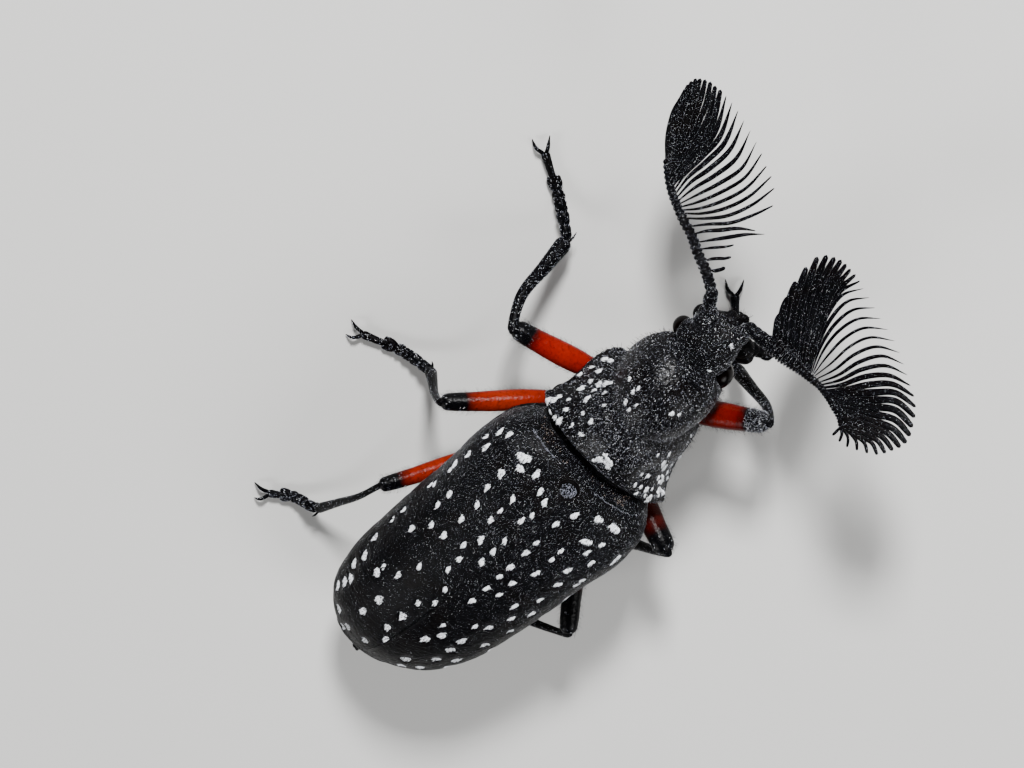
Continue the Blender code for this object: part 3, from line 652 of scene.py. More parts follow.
def hair_coat(name, skin, grown, lie, rng, lift, length, width, bent, stray):
    """Hairs as closed three-sided spikes, joined in one mesh, each with its own shade.

    lie is the direction that the hairs lie in, and lift how far they stand out of it.
    """
    roots, normals = grown
    count = len(roots)
    lie = np.asarray(lie, float)
    along = unit(lie - (lie * normals).sum(1)[:, None] * normals)
    along = along + rng.normal(0, stray, (count, 3))
    along = unit(along - (along * normals).sum(1)[:, None] * normals)
    side = np.cross(normals, along)
    lift = lift * rng.uniform(0.6, 1.3, count)[:, None]
    length = length * rng.uniform(0.65, 1.3, count)[:, None]
    start = roots - normals * SINK
    middle = start + (along * 0.5 + normals * lift * 0.75) * length
    tip = start + (along + normals * lift) * length
    half = side * (width / 2)
    thick = normals * (width * 0.75)
    corners = [start + half, start - half, start + thick]
    patch = [(-1, -1), (1, -1), (0, -0.6)]
    if bent:
        corners += [middle + half * 0.8, middle - half * 0.8, middle + thick * 0.7]
        patch += [(-0.7, 0.2), (0.7, 0.2), (0, 0.4)]
    corners.append(tip)
    patch.append((0, 1))
    points = np.stack(corners, axis=1).reshape(-1, 3)
    faces = np.array(BENT_FACES if bent else PLAIN_FACES)
    size = len(corners)
    triangles = (faces[None] + (np.arange(count) * size)[:, None, None]).reshape(-1, 3)
    mesh = bpy.data.meshes.new(name)
    mesh.from_pydata(points, [], triangles)
    places = (skin.unwrap(roots)[:, None] + BAKE_PATCH * np.array(patch)[None]).reshape(-1, 2)
    loops = np.empty(len(mesh.loops), int)
    mesh.loops.foreach_get("vertex_index", loops)
    mesh.uv_layers.new(name="OFBake").data.foreach_set("uv", places[loops].ravel())
    shades = mesh.attributes.new("shade", "FLOAT", "POINT")
    shades.data.foreach_set("value", np.repeat(rng.random(count), size))
    mesh.update()
    item = bpy.data.objects.new(name, mesh)
    bpy.context.scene.collection.objects.link(item)
    return item


def grow_hairs(name, material, skin, grown, lie, rng, lift, length, width, bent=True, stray=0.18, trunk=True):
    """A finished coat of hairs. grown holds their roots and the normals there."""
    coat = hair_coat(name, skin, grown, lie, rng, lift, length, width, bent, stray)
    finish(coat, material, trunk=trunk)


# Materials

def dimmed(colour, share):
    return tuple(part * share for part in colour)


def new_material(name, colour, roughness):
    material = bpy.data.materials.new(name)
    material.use_nodes = True
    shader = material.node_tree.nodes["Principled BSDF"]
    shader.inputs["Base Color"].default_value = (*colour, 1.0)
    shader.inputs["Roughness"].default_value = roughness
    return material, shader


def add_node(material, kind, settings=None, **inputs):
    node = material.node_tree.nodes.new(kind)
    for name, value in (settings or {}).items():
        setattr(node, name, value)
    for name, value in inputs.items():
        socket = node.inputs[name.replace("_", " ")]
        if isinstance(value, bpy.types.NodeSocket):
            material.node_tree.links.new(value, socket)
        else:
            socket.default_value = value
    return node


def object_noise(material, cell, detail=3.0):
    """A noise whose cells are about so many millimetres across, on Object coordinates."""
    place = add_node(material, "ShaderNodeTexCoord").outputs["Object"]
    noises = add_node(material, "ShaderNodeTexNoise", Vector=place, Scale=1.0 / (cell * MM), Detail=detail)
    return noises.outputs["Fac"]


def colour_ramp(material, value, stops):
    """A ramp of (place, colour) stops."""
    ramp = add_node(material, "ShaderNodeValToRGB", Fac=value)
    elements = ramp.color_ramp.elements
    while len(elements) < len(stops):
        elements.new(0.5)
    for element, (place, colour) in zip(elements, stops):
        element.position = place
        element.color = (*colour, 1.0)
    return ramp.outputs["Color"]


def link(material, output, socket):
    material.node_tree.links.new(output, socket)


def add_bump(material, shader, heights):
    """Bumps laid over each other: pairs of a height socket and its depth in millimetres."""
    normal = None
    for height, depth in heights:
        bump = add_node(material, "ShaderNodeBump", Strength=1.0, Distance=depth * MM, Height=height)
        if normal is not None:
            link(material, normal, bump.inputs["Normal"])
        normal = bump.outputs["Normal"]
    link(material, normal, shader.inputs["Normal"])


def cell_height(material, cell):
    """The height of rounded cells about so many millimetres across, on Object coordinates."""
    place = add_node(material, "ShaderNodeTexCoord").outputs["Object"]
    voronoi = add_node(material, "ShaderNodeTexVoronoi", Vector=place, Scale=1.0 / (cell * MM))
    return voronoi.outputs["Distance"]


def cuticle_material(colours, name="cuticle_black", grain=0.11, roughness=0.4, gloss=0.03):
    """Black horn, finely pitted, a little browner in places, and bluer and brighter in others: a painted
    bluish sheen.
    """
    black = tuple(colours.cuticle)
    material, shader = new_material(name, black, roughness)
    mottle = object_noise(material, 0.9)
    # Bluer, brighter patches: a painted bluish sheen.
    painted_sheen_blue = tuple(part * 1.5 + 0.0006 for part in black)
    brown = (black[0] * 1.6, black[1] * 1.1, black[2] * 0.8)
    tint = colour_ramp(material, mottle, [(0.3, brown), (0.5, black), (0.75, painted_sheen_blue)])
    link(material, tint, shader.inputs["Base Color"])
    rough = add_node(material, "ShaderNodeMapRange", Value=object_noise(material, 0.05),
                     From_Min=0.3, From_Max=0.7, To_Min=roughness - 0.12, To_Max=roughness + 0.2)
    link(material, rough.outputs["Result"], shader.inputs["Roughness"])
    shader.inputs["Specular IOR Level"].default_value = gloss
    add_bump(material, shader, [
        (cell_height(material, grain), grain * 0.12),
        (object_noise(material, 0.04, 5.0), 0.004),
    ])
    return material


# Where each femur turns black, as a share of its length, and its red. The right femora's reds are darker:
# painted shade, as the right legs lie on the shaded side.
FEMUR_REDS = {
    "front_left": (0.8, (0.11, 0.002, 0.0005)),
    "middle_left": (0.76, (0.115, 0.0045, 0.0003)),
    "hind_left": (0.81, (0.11, 0.004, 0.0003)),
    # The right legs' darker reds are painted shade.
    "front_right": (0.78, (0.058, 0.0012, 0.0005)),
    "middle_right": (0.76, (0.02, 0.0012, 0.0008)),
    "hind_right": (0.62, (0.02, 0.0012, 0.0008)),
}


def femur_material(leg, colours):
    """Red horn of a femur, brighter along its middle and black towards the knee."""
    black_from, red = FEMUR_REDS[leg]
    red = tuple(part * strength for part, strength in zip(red, colours.femur))
    material, shader = new_material(f"femur_red_{leg}", red, 0.3)
    share = add_node(material, "ShaderNodeAttribute", {"attribute_name": "share"}).outputs["Fac"]
    wander = add_node(material, "ShaderNodeMath", {"operation": "MULTIPLY_ADD"})
    link(material, object_noise(material, 0.25), wander.inputs[0])
    wander.inputs[1].default_value = 0.07
    link(material, share, wander.inputs[2])
    deep = dimmed(red, 0.5)
    bright = (red[0] * 1.25, red[1] * 1.7, red[2])
    colour = colour_ramp(material, wander.outputs["Value"], [
        (0.0, deep), (0.2, red), (0.5, bright), (black_from - 0.06, red), (black_from, deep),
        (black_from + 0.05, tuple(colours.cuticle)),
    ])
    link(material, colour, shader.inputs["Base Color"])
    shader.inputs["Specular IOR Level"].default_value = 0.05
    add_bump(material, shader, [
        (cell_height(material, 0.13), 0.012),
        (object_noise(material, 0.05, 4.0), 0.008),
    ])
    return material


def eye_material(colours):
    """Polished, nearly black brown with fine facets."""
    brown = tuple(colours.eye)
    material, shader = new_material("eye_brown", brown, 0.2)
    tint = colour_ramp(material, object_noise(material, 0.5), [(0.35, dimmed(brown, 0.3)), (0.7, brown)])
    link(material, tint, shader.inputs["Base Color"])
    shader.inputs["Specular IOR Level"].default_value = 0.06
    add_bump(material, shader, [(cell_height(material, 0.035), 0.002)])
    return material


def hair_material(name, stops, gloss=0.3):
    """Hair whose colour follows each hair's own shade, from 0 to 1."""
    material, shader = new_material(name, stops[-1][1], 0.4)
    shade = add_node(material, "ShaderNodeAttribute", {"attribute_name": "shade"}).outputs["Fac"]
    link(material, colour_ramp(material, shade, stops), shader.inputs["Base Color"])
    shader.inputs["Specular IOR Level"].default_value = gloss
    return material


def floor_material(colours):
    pale = tuple(colours.floor)
    material, shader = new_material("studio_floor", pale, 0.8)
    tint = colour_ramp(material, object_noise(material, 12.0), [(0.3, dimmed(pale, 0.985)), (0.7, pale)])
    link(material, tint, shader.inputs["Base Color"])
    return material


MATERIALS = {}


def dress(name):
    """A material of the beetle, made once. A femur's is named after its leg."""
    colours = bpy.context.scene.beetle_colours
    white, speck, black = tuple(colours.white_hair), tuple(colours.speck_hair), tuple(colours.cuticle)
    makers = {
        "cuticle": lambda: cuticle_material(colours),
        "shield": lambda: cuticle_material(colours, "shield_black", 0.13, 0.27, 0.07),
        "feeler": lambda: cuticle_material(colours, "feeler_black", 0.07, 0.34, 0.02),
        "eye": lambda: eye_material(colours),
        "white": lambda: hair_material("white_hair", [(0.0, dimmed(white, 0.75)), (1.0, white)]),
        "speck": lambda: hair_material("speck_hair", [
            (0.0, dimmed(speck, 0.02)), (0.4, dimmed(speck, 0.08)), (0.7, dimmed(speck, 0.7)), (0.95, white),
        ]),
        "felt": lambda: hair_material("felt_hair", [(0.0, dimmed(speck, 0.1)), (1.0, dimmed(speck, 0.9))]),
        "tan": lambda: hair_material("tan_hair", [(0.0, (0.05, 0.03, 0.02)), (1.0, (0.26, 0.2, 0.15))]),
        "dark_hair": lambda: hair_material("dark_hair", [(0.0, black), (1.0, (0.006, 0.005, 0.006))], 0.08),
        "floor": lambda: floor_material(colours),
    }
    if name not in MATERIALS:
        MATERIALS[name] = femur_material(name, colours) if name in FEMUR_REDS else makers[name]()
    return MATERIALS[name]


def together(*grown):
    """Several sets of roots and normals as one."""
    return [np.concatenate(parts) for parts in zip(*grown)]


def spot_hairs(skin, spots, rng, density=1300.0):
    """Roots and normals of dense hairs inside spots: place across and along, length, width, turn."""
    roots, normals = [], []
    for x, y, long, wide, turn in spots:
        centre, facing = skin.drop([x], [y])
        if not len(centre):
            continue
        count = int(density * long * wide * math.pi / 4) + 6
        radius, angle = np.sqrt(rng.random(count)), rng.uniform(0, 2 * math.pi, count)
        radius = radius * (1 + 0.16 * np.sin(3 * angle + x * 9) + 0.1 * np.sin(5 * angle + y * 7))
        a, b = radius * np.cos(angle) * long / 2, radius * np.sin(angle) * wide / 2
        across = unit(np.cross((0.0, 1.0, 0.0), facing[0]))
        down = np.cross(facing[0], across)
        some_roots, some_normals = skin.nearest(
            centre[0] + np.outer(a * math.sin(turn) + b * math.cos(turn), across)
            + np.outer(a * math.cos(turn) - b * math.sin(turn), down)
        )
        roots.append(some_roots)
        normals.append(some_normals)
    return np.concatenate(roots), np.concatenate(normals)


# Wing cases

ELYTRON_ACROSS = 90
ELYTRON_ALONG = 300
# The angle round the cross-section that the rolled side edge reaches, in degrees.
ELYTRON_UNDER = -50.0
ELYTRON_THICKNESS = 0.16
SUTURE = 0.02
# Where the raised front rim lies, and how far from the suture its pale hairs begin and end; these pale hairs
# also paint the rim's highlight.
RIDGE_Y = -0.34
RIM_HIGHLIGHT_HAIRS = {"left": (1.2, 2.45), "right": (0.7, 2.7)}
# The spots grow larger towards the rear, and their hairs stand further apart there.
LARGE_SPOTS_FROM = 8.5
LOOSE_SPOTS_FROM = 7.0
LOOSE_DENSITY = 800.0


def rear_bend(places):
    """How far the hind body swings to the beetle's left."""
    return FRONT_ASIDE + REAR_BEND * np.clip(places / 14.0, 0, 1)


def elytron_spots(side, rng):
    spots = []
    for across, places in SPOT_ROWS[side].items():
        for place in places:
            small = place < LARGE_SPOTS_FROM
            long = rng.uniform(0.25, 0.36) if small else rng.uniform(0.36, 0.44)
            wide = long * (rng.uniform(0.5, 0.62) if small else rng.uniform(0.65, 0.8))
            spots.append((side * across, place, long, wide, -side * rng.uniform(0.1, 0.6)))
    return spots + [spot for spot in SHOULDER_SPOTS if spot[0] * side > 0]


def elytron_grid(side):
    """One wing case's outer face, from the suture to the rolled side edge."""
    deselect()
    bpy.ops.mesh.primitive_grid_add(x_subdivisions=ELYTRON_ACROSS, y_subdivisions=ELYTRON_ALONG, size=2.0)
    item = bpy.context.object
    grid = points_of(item)
    across, along = (grid[:, 0] + 1) / 2, (grid[:, 1] + 1) / 2
    first, last = ELYTRA[0][0], ELYTRA[-1][0]
    places = first + (last - first) * (0.75 * along + 0.25 * np.sin(along * math.pi / 2) ** 2)
    angle = np.radians(90.0 + (ELYTRON_UNDER - 90.0) * across)
    half_width, edge, top, bottom, power = profile(ELYTRA, places).T
    x = half_width * np.abs(np.cos(angle)) ** (2 / power)
    rise = np.sin(angle)
    z = edge + np.where(rise > 0, (top - edge) * np.abs(rise) ** (2 / power), (edge + 0.3) * rise * 1.3)
    x = np.where(rise < 0, half_width * (1 - 0.16 * rise**2), x)
    x = np.maximum(x, SUTURE)
    ridges = sum(0.02 * swell(across, line, 0.035) for line in (0.2, 0.38, 0.56))
    ridges = ridges * np.clip(places / 2, 0, 1) * np.clip((12.5 - places) / 2, 0, 1)
    rim = 0.035 * swell(x, SUTURE, 0.08) + 0.06 * swell(across, 0.96, 0.03)
    rim = rim * np.clip((13.8 - places) / 0.5, 0, 1)
    front = 0.06 * swell(places, RIDGE_Y, 0.07) * (across < 0.7)
    move_points(item, np.stack([side * x + rear_bend(places), places, z], axis=1))
    if side > 0:
        bpy.ops.object.mode_set(mode="EDIT")
        bpy.ops.mesh.select_all(action="SELECT")
        bpy.ops.mesh.flip_normals()
        bpy.ops.object.mode_set(mode="OBJECT")
    if normals_of(item)[:, 2].mean() < 0:
        item.data.flip_normals()
    press(item, -(ridges + rim + front))
    return item


class BEETLE_OT_wing_cases(bpy.types.Operator):
    """Two thin curved wing cases with fine pits, white spots and a dust of short hairs"""

    bl_idname = "beetle.wing_cases"
    bl_label = "Wing cases"

    def execute(self, context):
        sizes = context.scene.beetle_sizes
        for label, side in SIDES:
            rng = np.random.default_rng(SEEDS["wing_cases"] + side)
            item = elytron_grid(side)
            item.name = f"elytron_{label}_shell"
            spots = elytron_spots(side, rng)
            points = points_of(item)
            dimple = np.zeros(len(points))
            for x, y, long, wide, _ in spots:
                away = ((points[:, 0] - x) / (wide * 0.7)) ** 2 + ((points[:, 1] - y) / (long * 0.7)) ** 2
                dimple += np.exp(-(away**1.5)) * (points[:, 2] > -0.1) * min(1.3, 0.4 + 0.08 * y)
            grain = pits(points, 0.17, 3.0) + 0.6 * pits(points, 0.31, 8.0)
            press(item, sizes.pit_depth / MM * grain + 0.04 * np.minimum(dimple, 1.3))
            self.coats(sizes, label, side, Skin(item), spots, rng)
            apply_modifier(item, "SOLIDIFY", thickness=ELYTRON_THICKNESS, offset=-1.0)
            finish(item, "cuticle", [f"elytron_{label}"])
        return {"FINISHED"}

    def coats(self, sizes, label, side, skin, spots, rng):
        near = spot_hairs(skin, [spot for spot in spots if spot[1] < LOOSE_SPOTS_FROM], rng)
        far = spot_hairs(skin, [spot for spot in spots if spot[1] >= LOOSE_SPOTS_FROM], rng, LOOSE_DENSITY)
        grow_hairs(f"elytron_{label}_spots", "white", skin, together(near, far), REARWARDS, rng,
                   lift=0.16, length=sizes.spot_hair / MM, width=0.026)

        def dusted(at, facing):
            return (at[:, 2] > -0.15) * np.clip(1.4 - at[:, 1] / 7, 0.3, 1.0)

        grown = skin.scatter(int(sizes.specks * 135), rng, dusted)
        grow_hairs(f"elytron_{label}_dust", "speck", skin, grown, REARWARDS, rng,
                   lift=0.25, length=sizes.speck_hair / MM, width=0.02, bent=False)
        # Pale hairs along the front rim, which also paint its highlight.
        x = side * rng.uniform(*RIM_HIGHLIGHT_HAIRS[label], 70)
        grown = skin.drop(x, RIDGE_Y + rng.normal(0, 0.012, len(x)))
        grow_hairs(f"elytron_{label}_rim_highlight_hairs", "felt", skin, grown, (side, 0.2, 0.0), rng,
                   lift=0.1, length=0.13, width=0.012)
        x = side * np.concatenate([rng.normal(1.95, 0.2, 14), rng.uniform(0.3, 2.3, 12)])
        grown = skin.drop(x, rng.uniform(-0.57, -0.42, len(x)))
        grow_hairs(f"elytron_{label}_front_hairs", "tan", skin, grown, REARWARDS, rng,
                   lift=0.4, length=0.07, width=0.028)


# Shield behind the head

class BEETLE_OT_pronotum(bpy.types.Operator):
    """The bell-shaped shield behind the head, with its hollow, its edges and white patches"""

    bl_idname = "beetle.pronotum"
    bl_label = "Pronotum"

    def execute(self, context):
        sizes = context.scene.beetle_sizes
        rng = np.random.default_rng(SEEDS["pronotum"])
        points, faces = form_points([SHIELD, DOME], 200, 150, 13.0, SHIELD_CORNERS, FLANK_POWER)
        rear = np.clip((points[:, 1] + 3.5) / 2.5, 0, 1) ** 2
        points[:, 1] += SHIELD_SKEW * points[:, 0] * rear
        points[:, 0] = np.where(points[:, 0] < 0, points[:, 0] * (1 + RIGHT_CORNER * rear), points[:, 0])
        item = Gathered().add(points, faces).item("pronotum_shield")
        face_out(item)
        points = points_of(item)
        x, y, z = points.T
        top = np.clip(z, 0, 1)
        groove = 0.08 * swell(x, 0, 0.12) * swell(y, -2.9, 0.7) * top
        hollow = 0.13 * swell(np.abs(x), 0.85, 0.4) * swell(y, -3.35, 0.35) * top
        folds = 0.1 * swell(np.abs(x), 1.75, 0.3) * swell(y, -1.9, 0.7) * top
        lumps = -0.06 * swell(np.abs(x), 1.0, 0.35) * swell(y, -2.4, 0.4) * top
        rim = -0.07 * swell(z, profile(SHIELD, y)[:, 1], 0.09) * (y > -4.2) * (np.abs(x) > 1.6)
        base = -0.05 * swell(y, points[:, 1].max() - 0.55, 0.1) * top
        grain = pits(points, 0.15, 11.0) * (z > -0.6)
        press(item, groove + hollow + folds + lumps + rim + base + (sizes.pit_depth / MM) * 1.1 * grain)
        self.coats(sizes, Skin(item), rng)
        hip_balls("front_hips", ("front_left", "front_right"), 0.1)
        finish(item, "shield", ["pronotum"])
        return {"FINISHED"}

    def coats(self, sizes, skin, rng):
        spots = []
        for x, y, size in PRONOTUM_PATCHES:
            long = PATCH_SIZE * size * rng.uniform(0.9, 1.2)
            wide = PATCH_SIZE * size * rng.uniform(0.5, 0.8)
            spots.append((x, y, long, wide, rng.uniform(-1, 1)))
        corner = np.random.default_rng(SEEDS["corner"])
        for _ in range(CORNER_SPECKS):
            x, y = corner.uniform(-3.0, -1.9), corner.uniform(-2.9, -1.15)
            spots.append((x, y, *CORNER_SPECK, corner.uniform(-1, 1)))
        grow_hairs("pronotum_patches", "white", skin, spot_hairs(skin, spots, rng), REARWARDS, rng,
                   lift=0.3, length=sizes.spot_hair / MM, width=0.026)

        def denser(at, facing):
            saddle = swell(at[:, 1], -3.5, 1.3) * swell(at[:, 0], 0, 1.9)
            return np.clip(0.45 + 0.6 * saddle, 0, 1) * (at[:, 2] > -0.9)

        grown = skin.scatter(int(sizes.specks * 170), rng, denser)
        grow_hairs("pronotum_dust", "speck", skin, grown, REARWARDS, rng,
                   lift=0.4, length=sizes.speck_hair / MM * 1.1, width=0.022, bent=False)

        def bristled(at, facing):
            return (at[:, 2] > -1.0) * (0.25 + 0.75 * (at[:, 1] < -3))

        grown = skin.scatter(4200, rng, bristled)
        grow_hairs("pronotum_dark_hairs", "dark_hair", skin, grown, REARWARDS, rng,
                   lift=2.2, length=0.09, width=0.016)


# Underside, scutellum and hips

PLATE_JOINTS = (0.9, 3.0, 4.9, 6.8, 8.6, 10.3, 11.9)
SCUTELLUM_CENTRE = np.array((0.06, SCUTELLUM_Y - 0.25, 2.5))


def hip_balls(name, legs, lift=0.0):
    hips = Gathered()
    for leg in legs:
        hips.add(*ball_points(to_trunk(LEGS[leg]["hip"])[0] + (0, 0, lift), COXA_RADIUS))
    finish(hips.item(name), "cuticle")


class BEETLE_OT_underbody(bpy.types.Operator):
    """The trunk below the wing cases with its plates, the hips and the small round scutellum"""

    bl_idname = "beetle.underbody"
    bl_label = "Underbody"

    def execute(self, context):
        rng = np.random.default_rng(SEEDS["underbody"])
        points, faces = form_points([TRUNK], 128, 160)
        points[:, 0] += rear_bend(points[:, 1])
        item = Gathered().add(points, faces).item("trunk_plates")
        face_out(item)
        points = points_of(item)
        joints = sum(swell(points[:, 1], place, 0.08) for place in PLATE_JOINTS)
        press(item, 0.09 * joints + 0.018 * pits(points, 0.2, 5.0))
        skin = Skin(item)
        grown = skin.scatter(9000, rng, lambda at, facing: (at[:, 2] < 0.2) * 1.0)
        grow_hairs("trunk_hairs", "speck", skin, grown, REARWARDS, rng, lift=0.4, length=0.16, width=0.02)
        hip_balls("hind_hips", [leg for leg in LEGS if not leg.startswith("front")])
        finish(item, "cuticle", ["thorax", "abdomen"])
        self.scutellum(rng)
        return {"FINISHED"}

    def scutellum(self, rng):
        def from_middle(points):
            return np.hypot(*(points - SCUTELLUM_CENTRE)[:, :2].T)

        points, faces = ball_points(SCUTELLUM_CENTRE, 0.44, 64, 48, (1.0, 1.0, 0.5))
        plate = Gathered().add(points, faces).item("scutellum_plate")
        press(plate, 0.06 * swell(from_middle(points), 0.35, 0.04) * (points[:, 2] > SCUTELLUM_CENTRE[2]))
        skin = Skin(plate)
        grown = skin.scatter(900, rng, lambda at, facing: (facing[:, 2] > 0.2) * (from_middle(at) < 0.32))
        grow_hairs("scutellum_felt", "felt", skin, grown, REARWARDS, rng, lift=0.3, length=0.06, width=0.018)
        finish(plate, "cuticle", ["scutellum"])


# Head

HEAD_VOXEL = 0.026
# The left jaw from its root to its tip; the right one is its mirror image.
JAW = ((0.35, -7.7, -0.5), (0.4, -7.95, -0.6), (0.28, -8.12, -0.7), (0.06, -8.14, -0.78))
JAW_RADII = (0.24, 0.25, 0.18, 0.06)
PALPS = {
    "left": ((0.3, -7.6, -0.55), (0.32, -7.78, -0.7), (0.28, -7.95, -0.78), (0.2, -8.1, -0.78)),
    "right": ((-0.8, -7.95, -0.7), (-1.2, -7.85, -0.85), (-1.6, -7.78, -0.95), (-1.9, -7.85, -0.95),
              (-2.08, -8.02, -0.9), (-2.12, -8.2, -0.85)),
}
PALP_RADII = (0.15, 0.18, 0.15, 0.19, 0.2, 0.16, 0.21, 0.21, 0.17, 0.23, 0.22, 0.14)


class BEETLE_OT_head(bpy.types.Operator):
    """The head with its two horn sockets, eyes, jaws and palps"""

    bl_idname = "beetle.head"
    bl_label = "Head"

    def execute(self, context):
        sizes = context.scene.beetle_sizes
        rng = np.random.default_rng(SEEDS["head"])
        item = self.capsule()
        points = points_of(item)
        x, y, z = points.T
        valley = 0.12 * swell(x, 0.2, 0.28) * swell(y, -8.2, 0.4) * (z > 0.1)
        press(item, valley + (sizes.pit_depth / MM) * pits(points, 0.13, 17.0))
        self.coats(sizes, Skin(item), rng)
        finish(item, "cuticle", ["head"])
        for label, centre in EYES.items():
            eye = ball(f"eye_{label}_dome", centre, EYE_RADIUS[label], 64, 40, (0.95, 1.05, 1.05))
            finish(eye, "eye", [f"eye_{label}"])
        for label, side in SIDES:
            self.mouth(label, side, rng)
        return {"FINISHED"}

    def capsule(self):
        """The head's core and its lumps, melted into one skin."""
        lumps = [(centre, radius, (1.1, 0.95, 0.8)) for centre, radius in LABRUM + CHEEKS]
        lumps.append(((0.0, -7.35, 0.72), 0.5, (1.5, 1.0, 0.8)))
        for label, _ in SIDES:
            x, y, z = SOCKETS[label]
            eye_x, eye_y, eye_z = EYES[label]
            lumps += [
                ((x, y, z), SOCKET_RADIUS, (1.0, 1.05, 0.95)),
                ((x * 0.85, y + 0.45, z - 0.02), SOCKET_RADIUS * 1.1, (1.0, 1.0, 1.0)),
                ((eye_x * EYE_BROW[label], eye_y - 0.15, eye_z + 0.22), 0.48, (1.0, 1.15, 0.95)),
            ]
        pieces = [Gathered().add(*form_points([HEAD], 96, 64)).item("head_capsule")]
        pieces += [ball("lump", centre, radius, 32, 20, stretch) for centre, radius, stretch in lumps]
        item = join_pieces(pieces, "head_capsule")
        apply_modifier(item, "REMESH", mode="VOXEL", voxel_size=HEAD_VOXEL)
        apply_modifier(item, "SMOOTH", factor=0.6, iterations=8)
        return item

    def coats(self, sizes, skin, rng):
        grown = skin.scatter(9500, rng, lambda at, facing: 0.12 + 0.88 * (at[:, 2] > 0.0))
        grow_hairs("head_dust", "speck", skin, grown, FORWARDS, rng,
                   lift=0.5, length=sizes.speck_hair / MM, width=0.015, bent=False, stray=0.6)

        def tufted(at, facing):
            near = sum(swell(at[:, 0], x, 0.3) * swell(at[:, 1], y + 0.1, 0.4)
                       for x, y, _ in SOCKETS.values())
            return np.clip(near + 0.12, 0, 1) * (at[:, 2] > 0)

        tufts = skin.scatter(300, rng, tufted)
        marks = spot_hairs(skin, [WHITE_DASH, WHITE_DOT], rng, 4000.0)
        grow_hairs("head_white_hairs", "white", skin, together(tufts, marks), FORWARDS, rng,
                   lift=0.6, length=0.1, width=0.018, stray=0.7)
        grown = skin.scatter(1500, rng, lambda at, facing: (at[:, 1] < -8.7) * (at[:, 2] < 0.1))
        grow_hairs("head_lip_bristles", "dark_hair", skin, grown, FORWARDS, rng,
                   lift=1.2, length=0.17, width=0.016, stray=0.4)

    def mouth(self, label, side, rng):
        item = limb(f"jaw_{label}", np.array(JAW) * (side, 1, 1), JAW_RADII, 20, 32, thin=0.75)
        finish(item, "feeler", [f"mandible_{label}"])
        line = PALPS[label]
        item = limb(f"palp_{label}_joints", line, PALP_RADII, 24, 60)
        skin = Skin(item)
        lie = unit(np.subtract(line[-1], line[0]))
        grow_hairs(f"palp_{label}_hairs", "speck", skin, skin.scatter(260, rng), lie, rng,
                   lift=0.8, length=0.07, width=0.014)
        finish(item, "feeler", [f"palp_{label}"])


# Feelers

# Widths along a ray from its root, where its tip is pointed and where it is blunt.
RAY_POINTED = np.array((0.3, 0.45, 0.75, 0.95, 1.0, 0.95, 0.75, 0.42, 0.08))
RAY_BLUNT = np.array((0.5, 0.75, 0.95, 1.0, 1.0, 0.95, 0.9, 0.85, 0.6))
RAY_WIDTH = 0.2
RAY_THICKNESS = 0.075
# The stem has one ring on each ray, and this many mesh rings on each of those.
RING_STEPS = 5
SCAPE_RADII = (0.2, 0.23, 0.27, 0.27, 0.24)
# The rays of each fan, by number, whose tips have a tuft of pale hairs.
TUFTED_RAYS = {"left": slice(0, 9), "right": slice(2, 6)}


def fan_axes(spec):
    """Along the stem, towards the ray tips, and square to the fan."""
    along = unit(np.subtract(spec["stem_end"], spec["scape_end"]))
    level = unit(np.cross((0.0, 0.0, 1.0), along))
    level = level * (-1.0 if level[1] > 0 else 1.0)
    square = np.cross(along, level)
    square = square * (-1.0 if square[2] < 0 else 1.0)
    cos, sin = math.cos(math.radians(spec["lean"])), math.sin(math.radians(spec["lean"]))
    return along, level * cos + square * sin, square * cos - level * sin


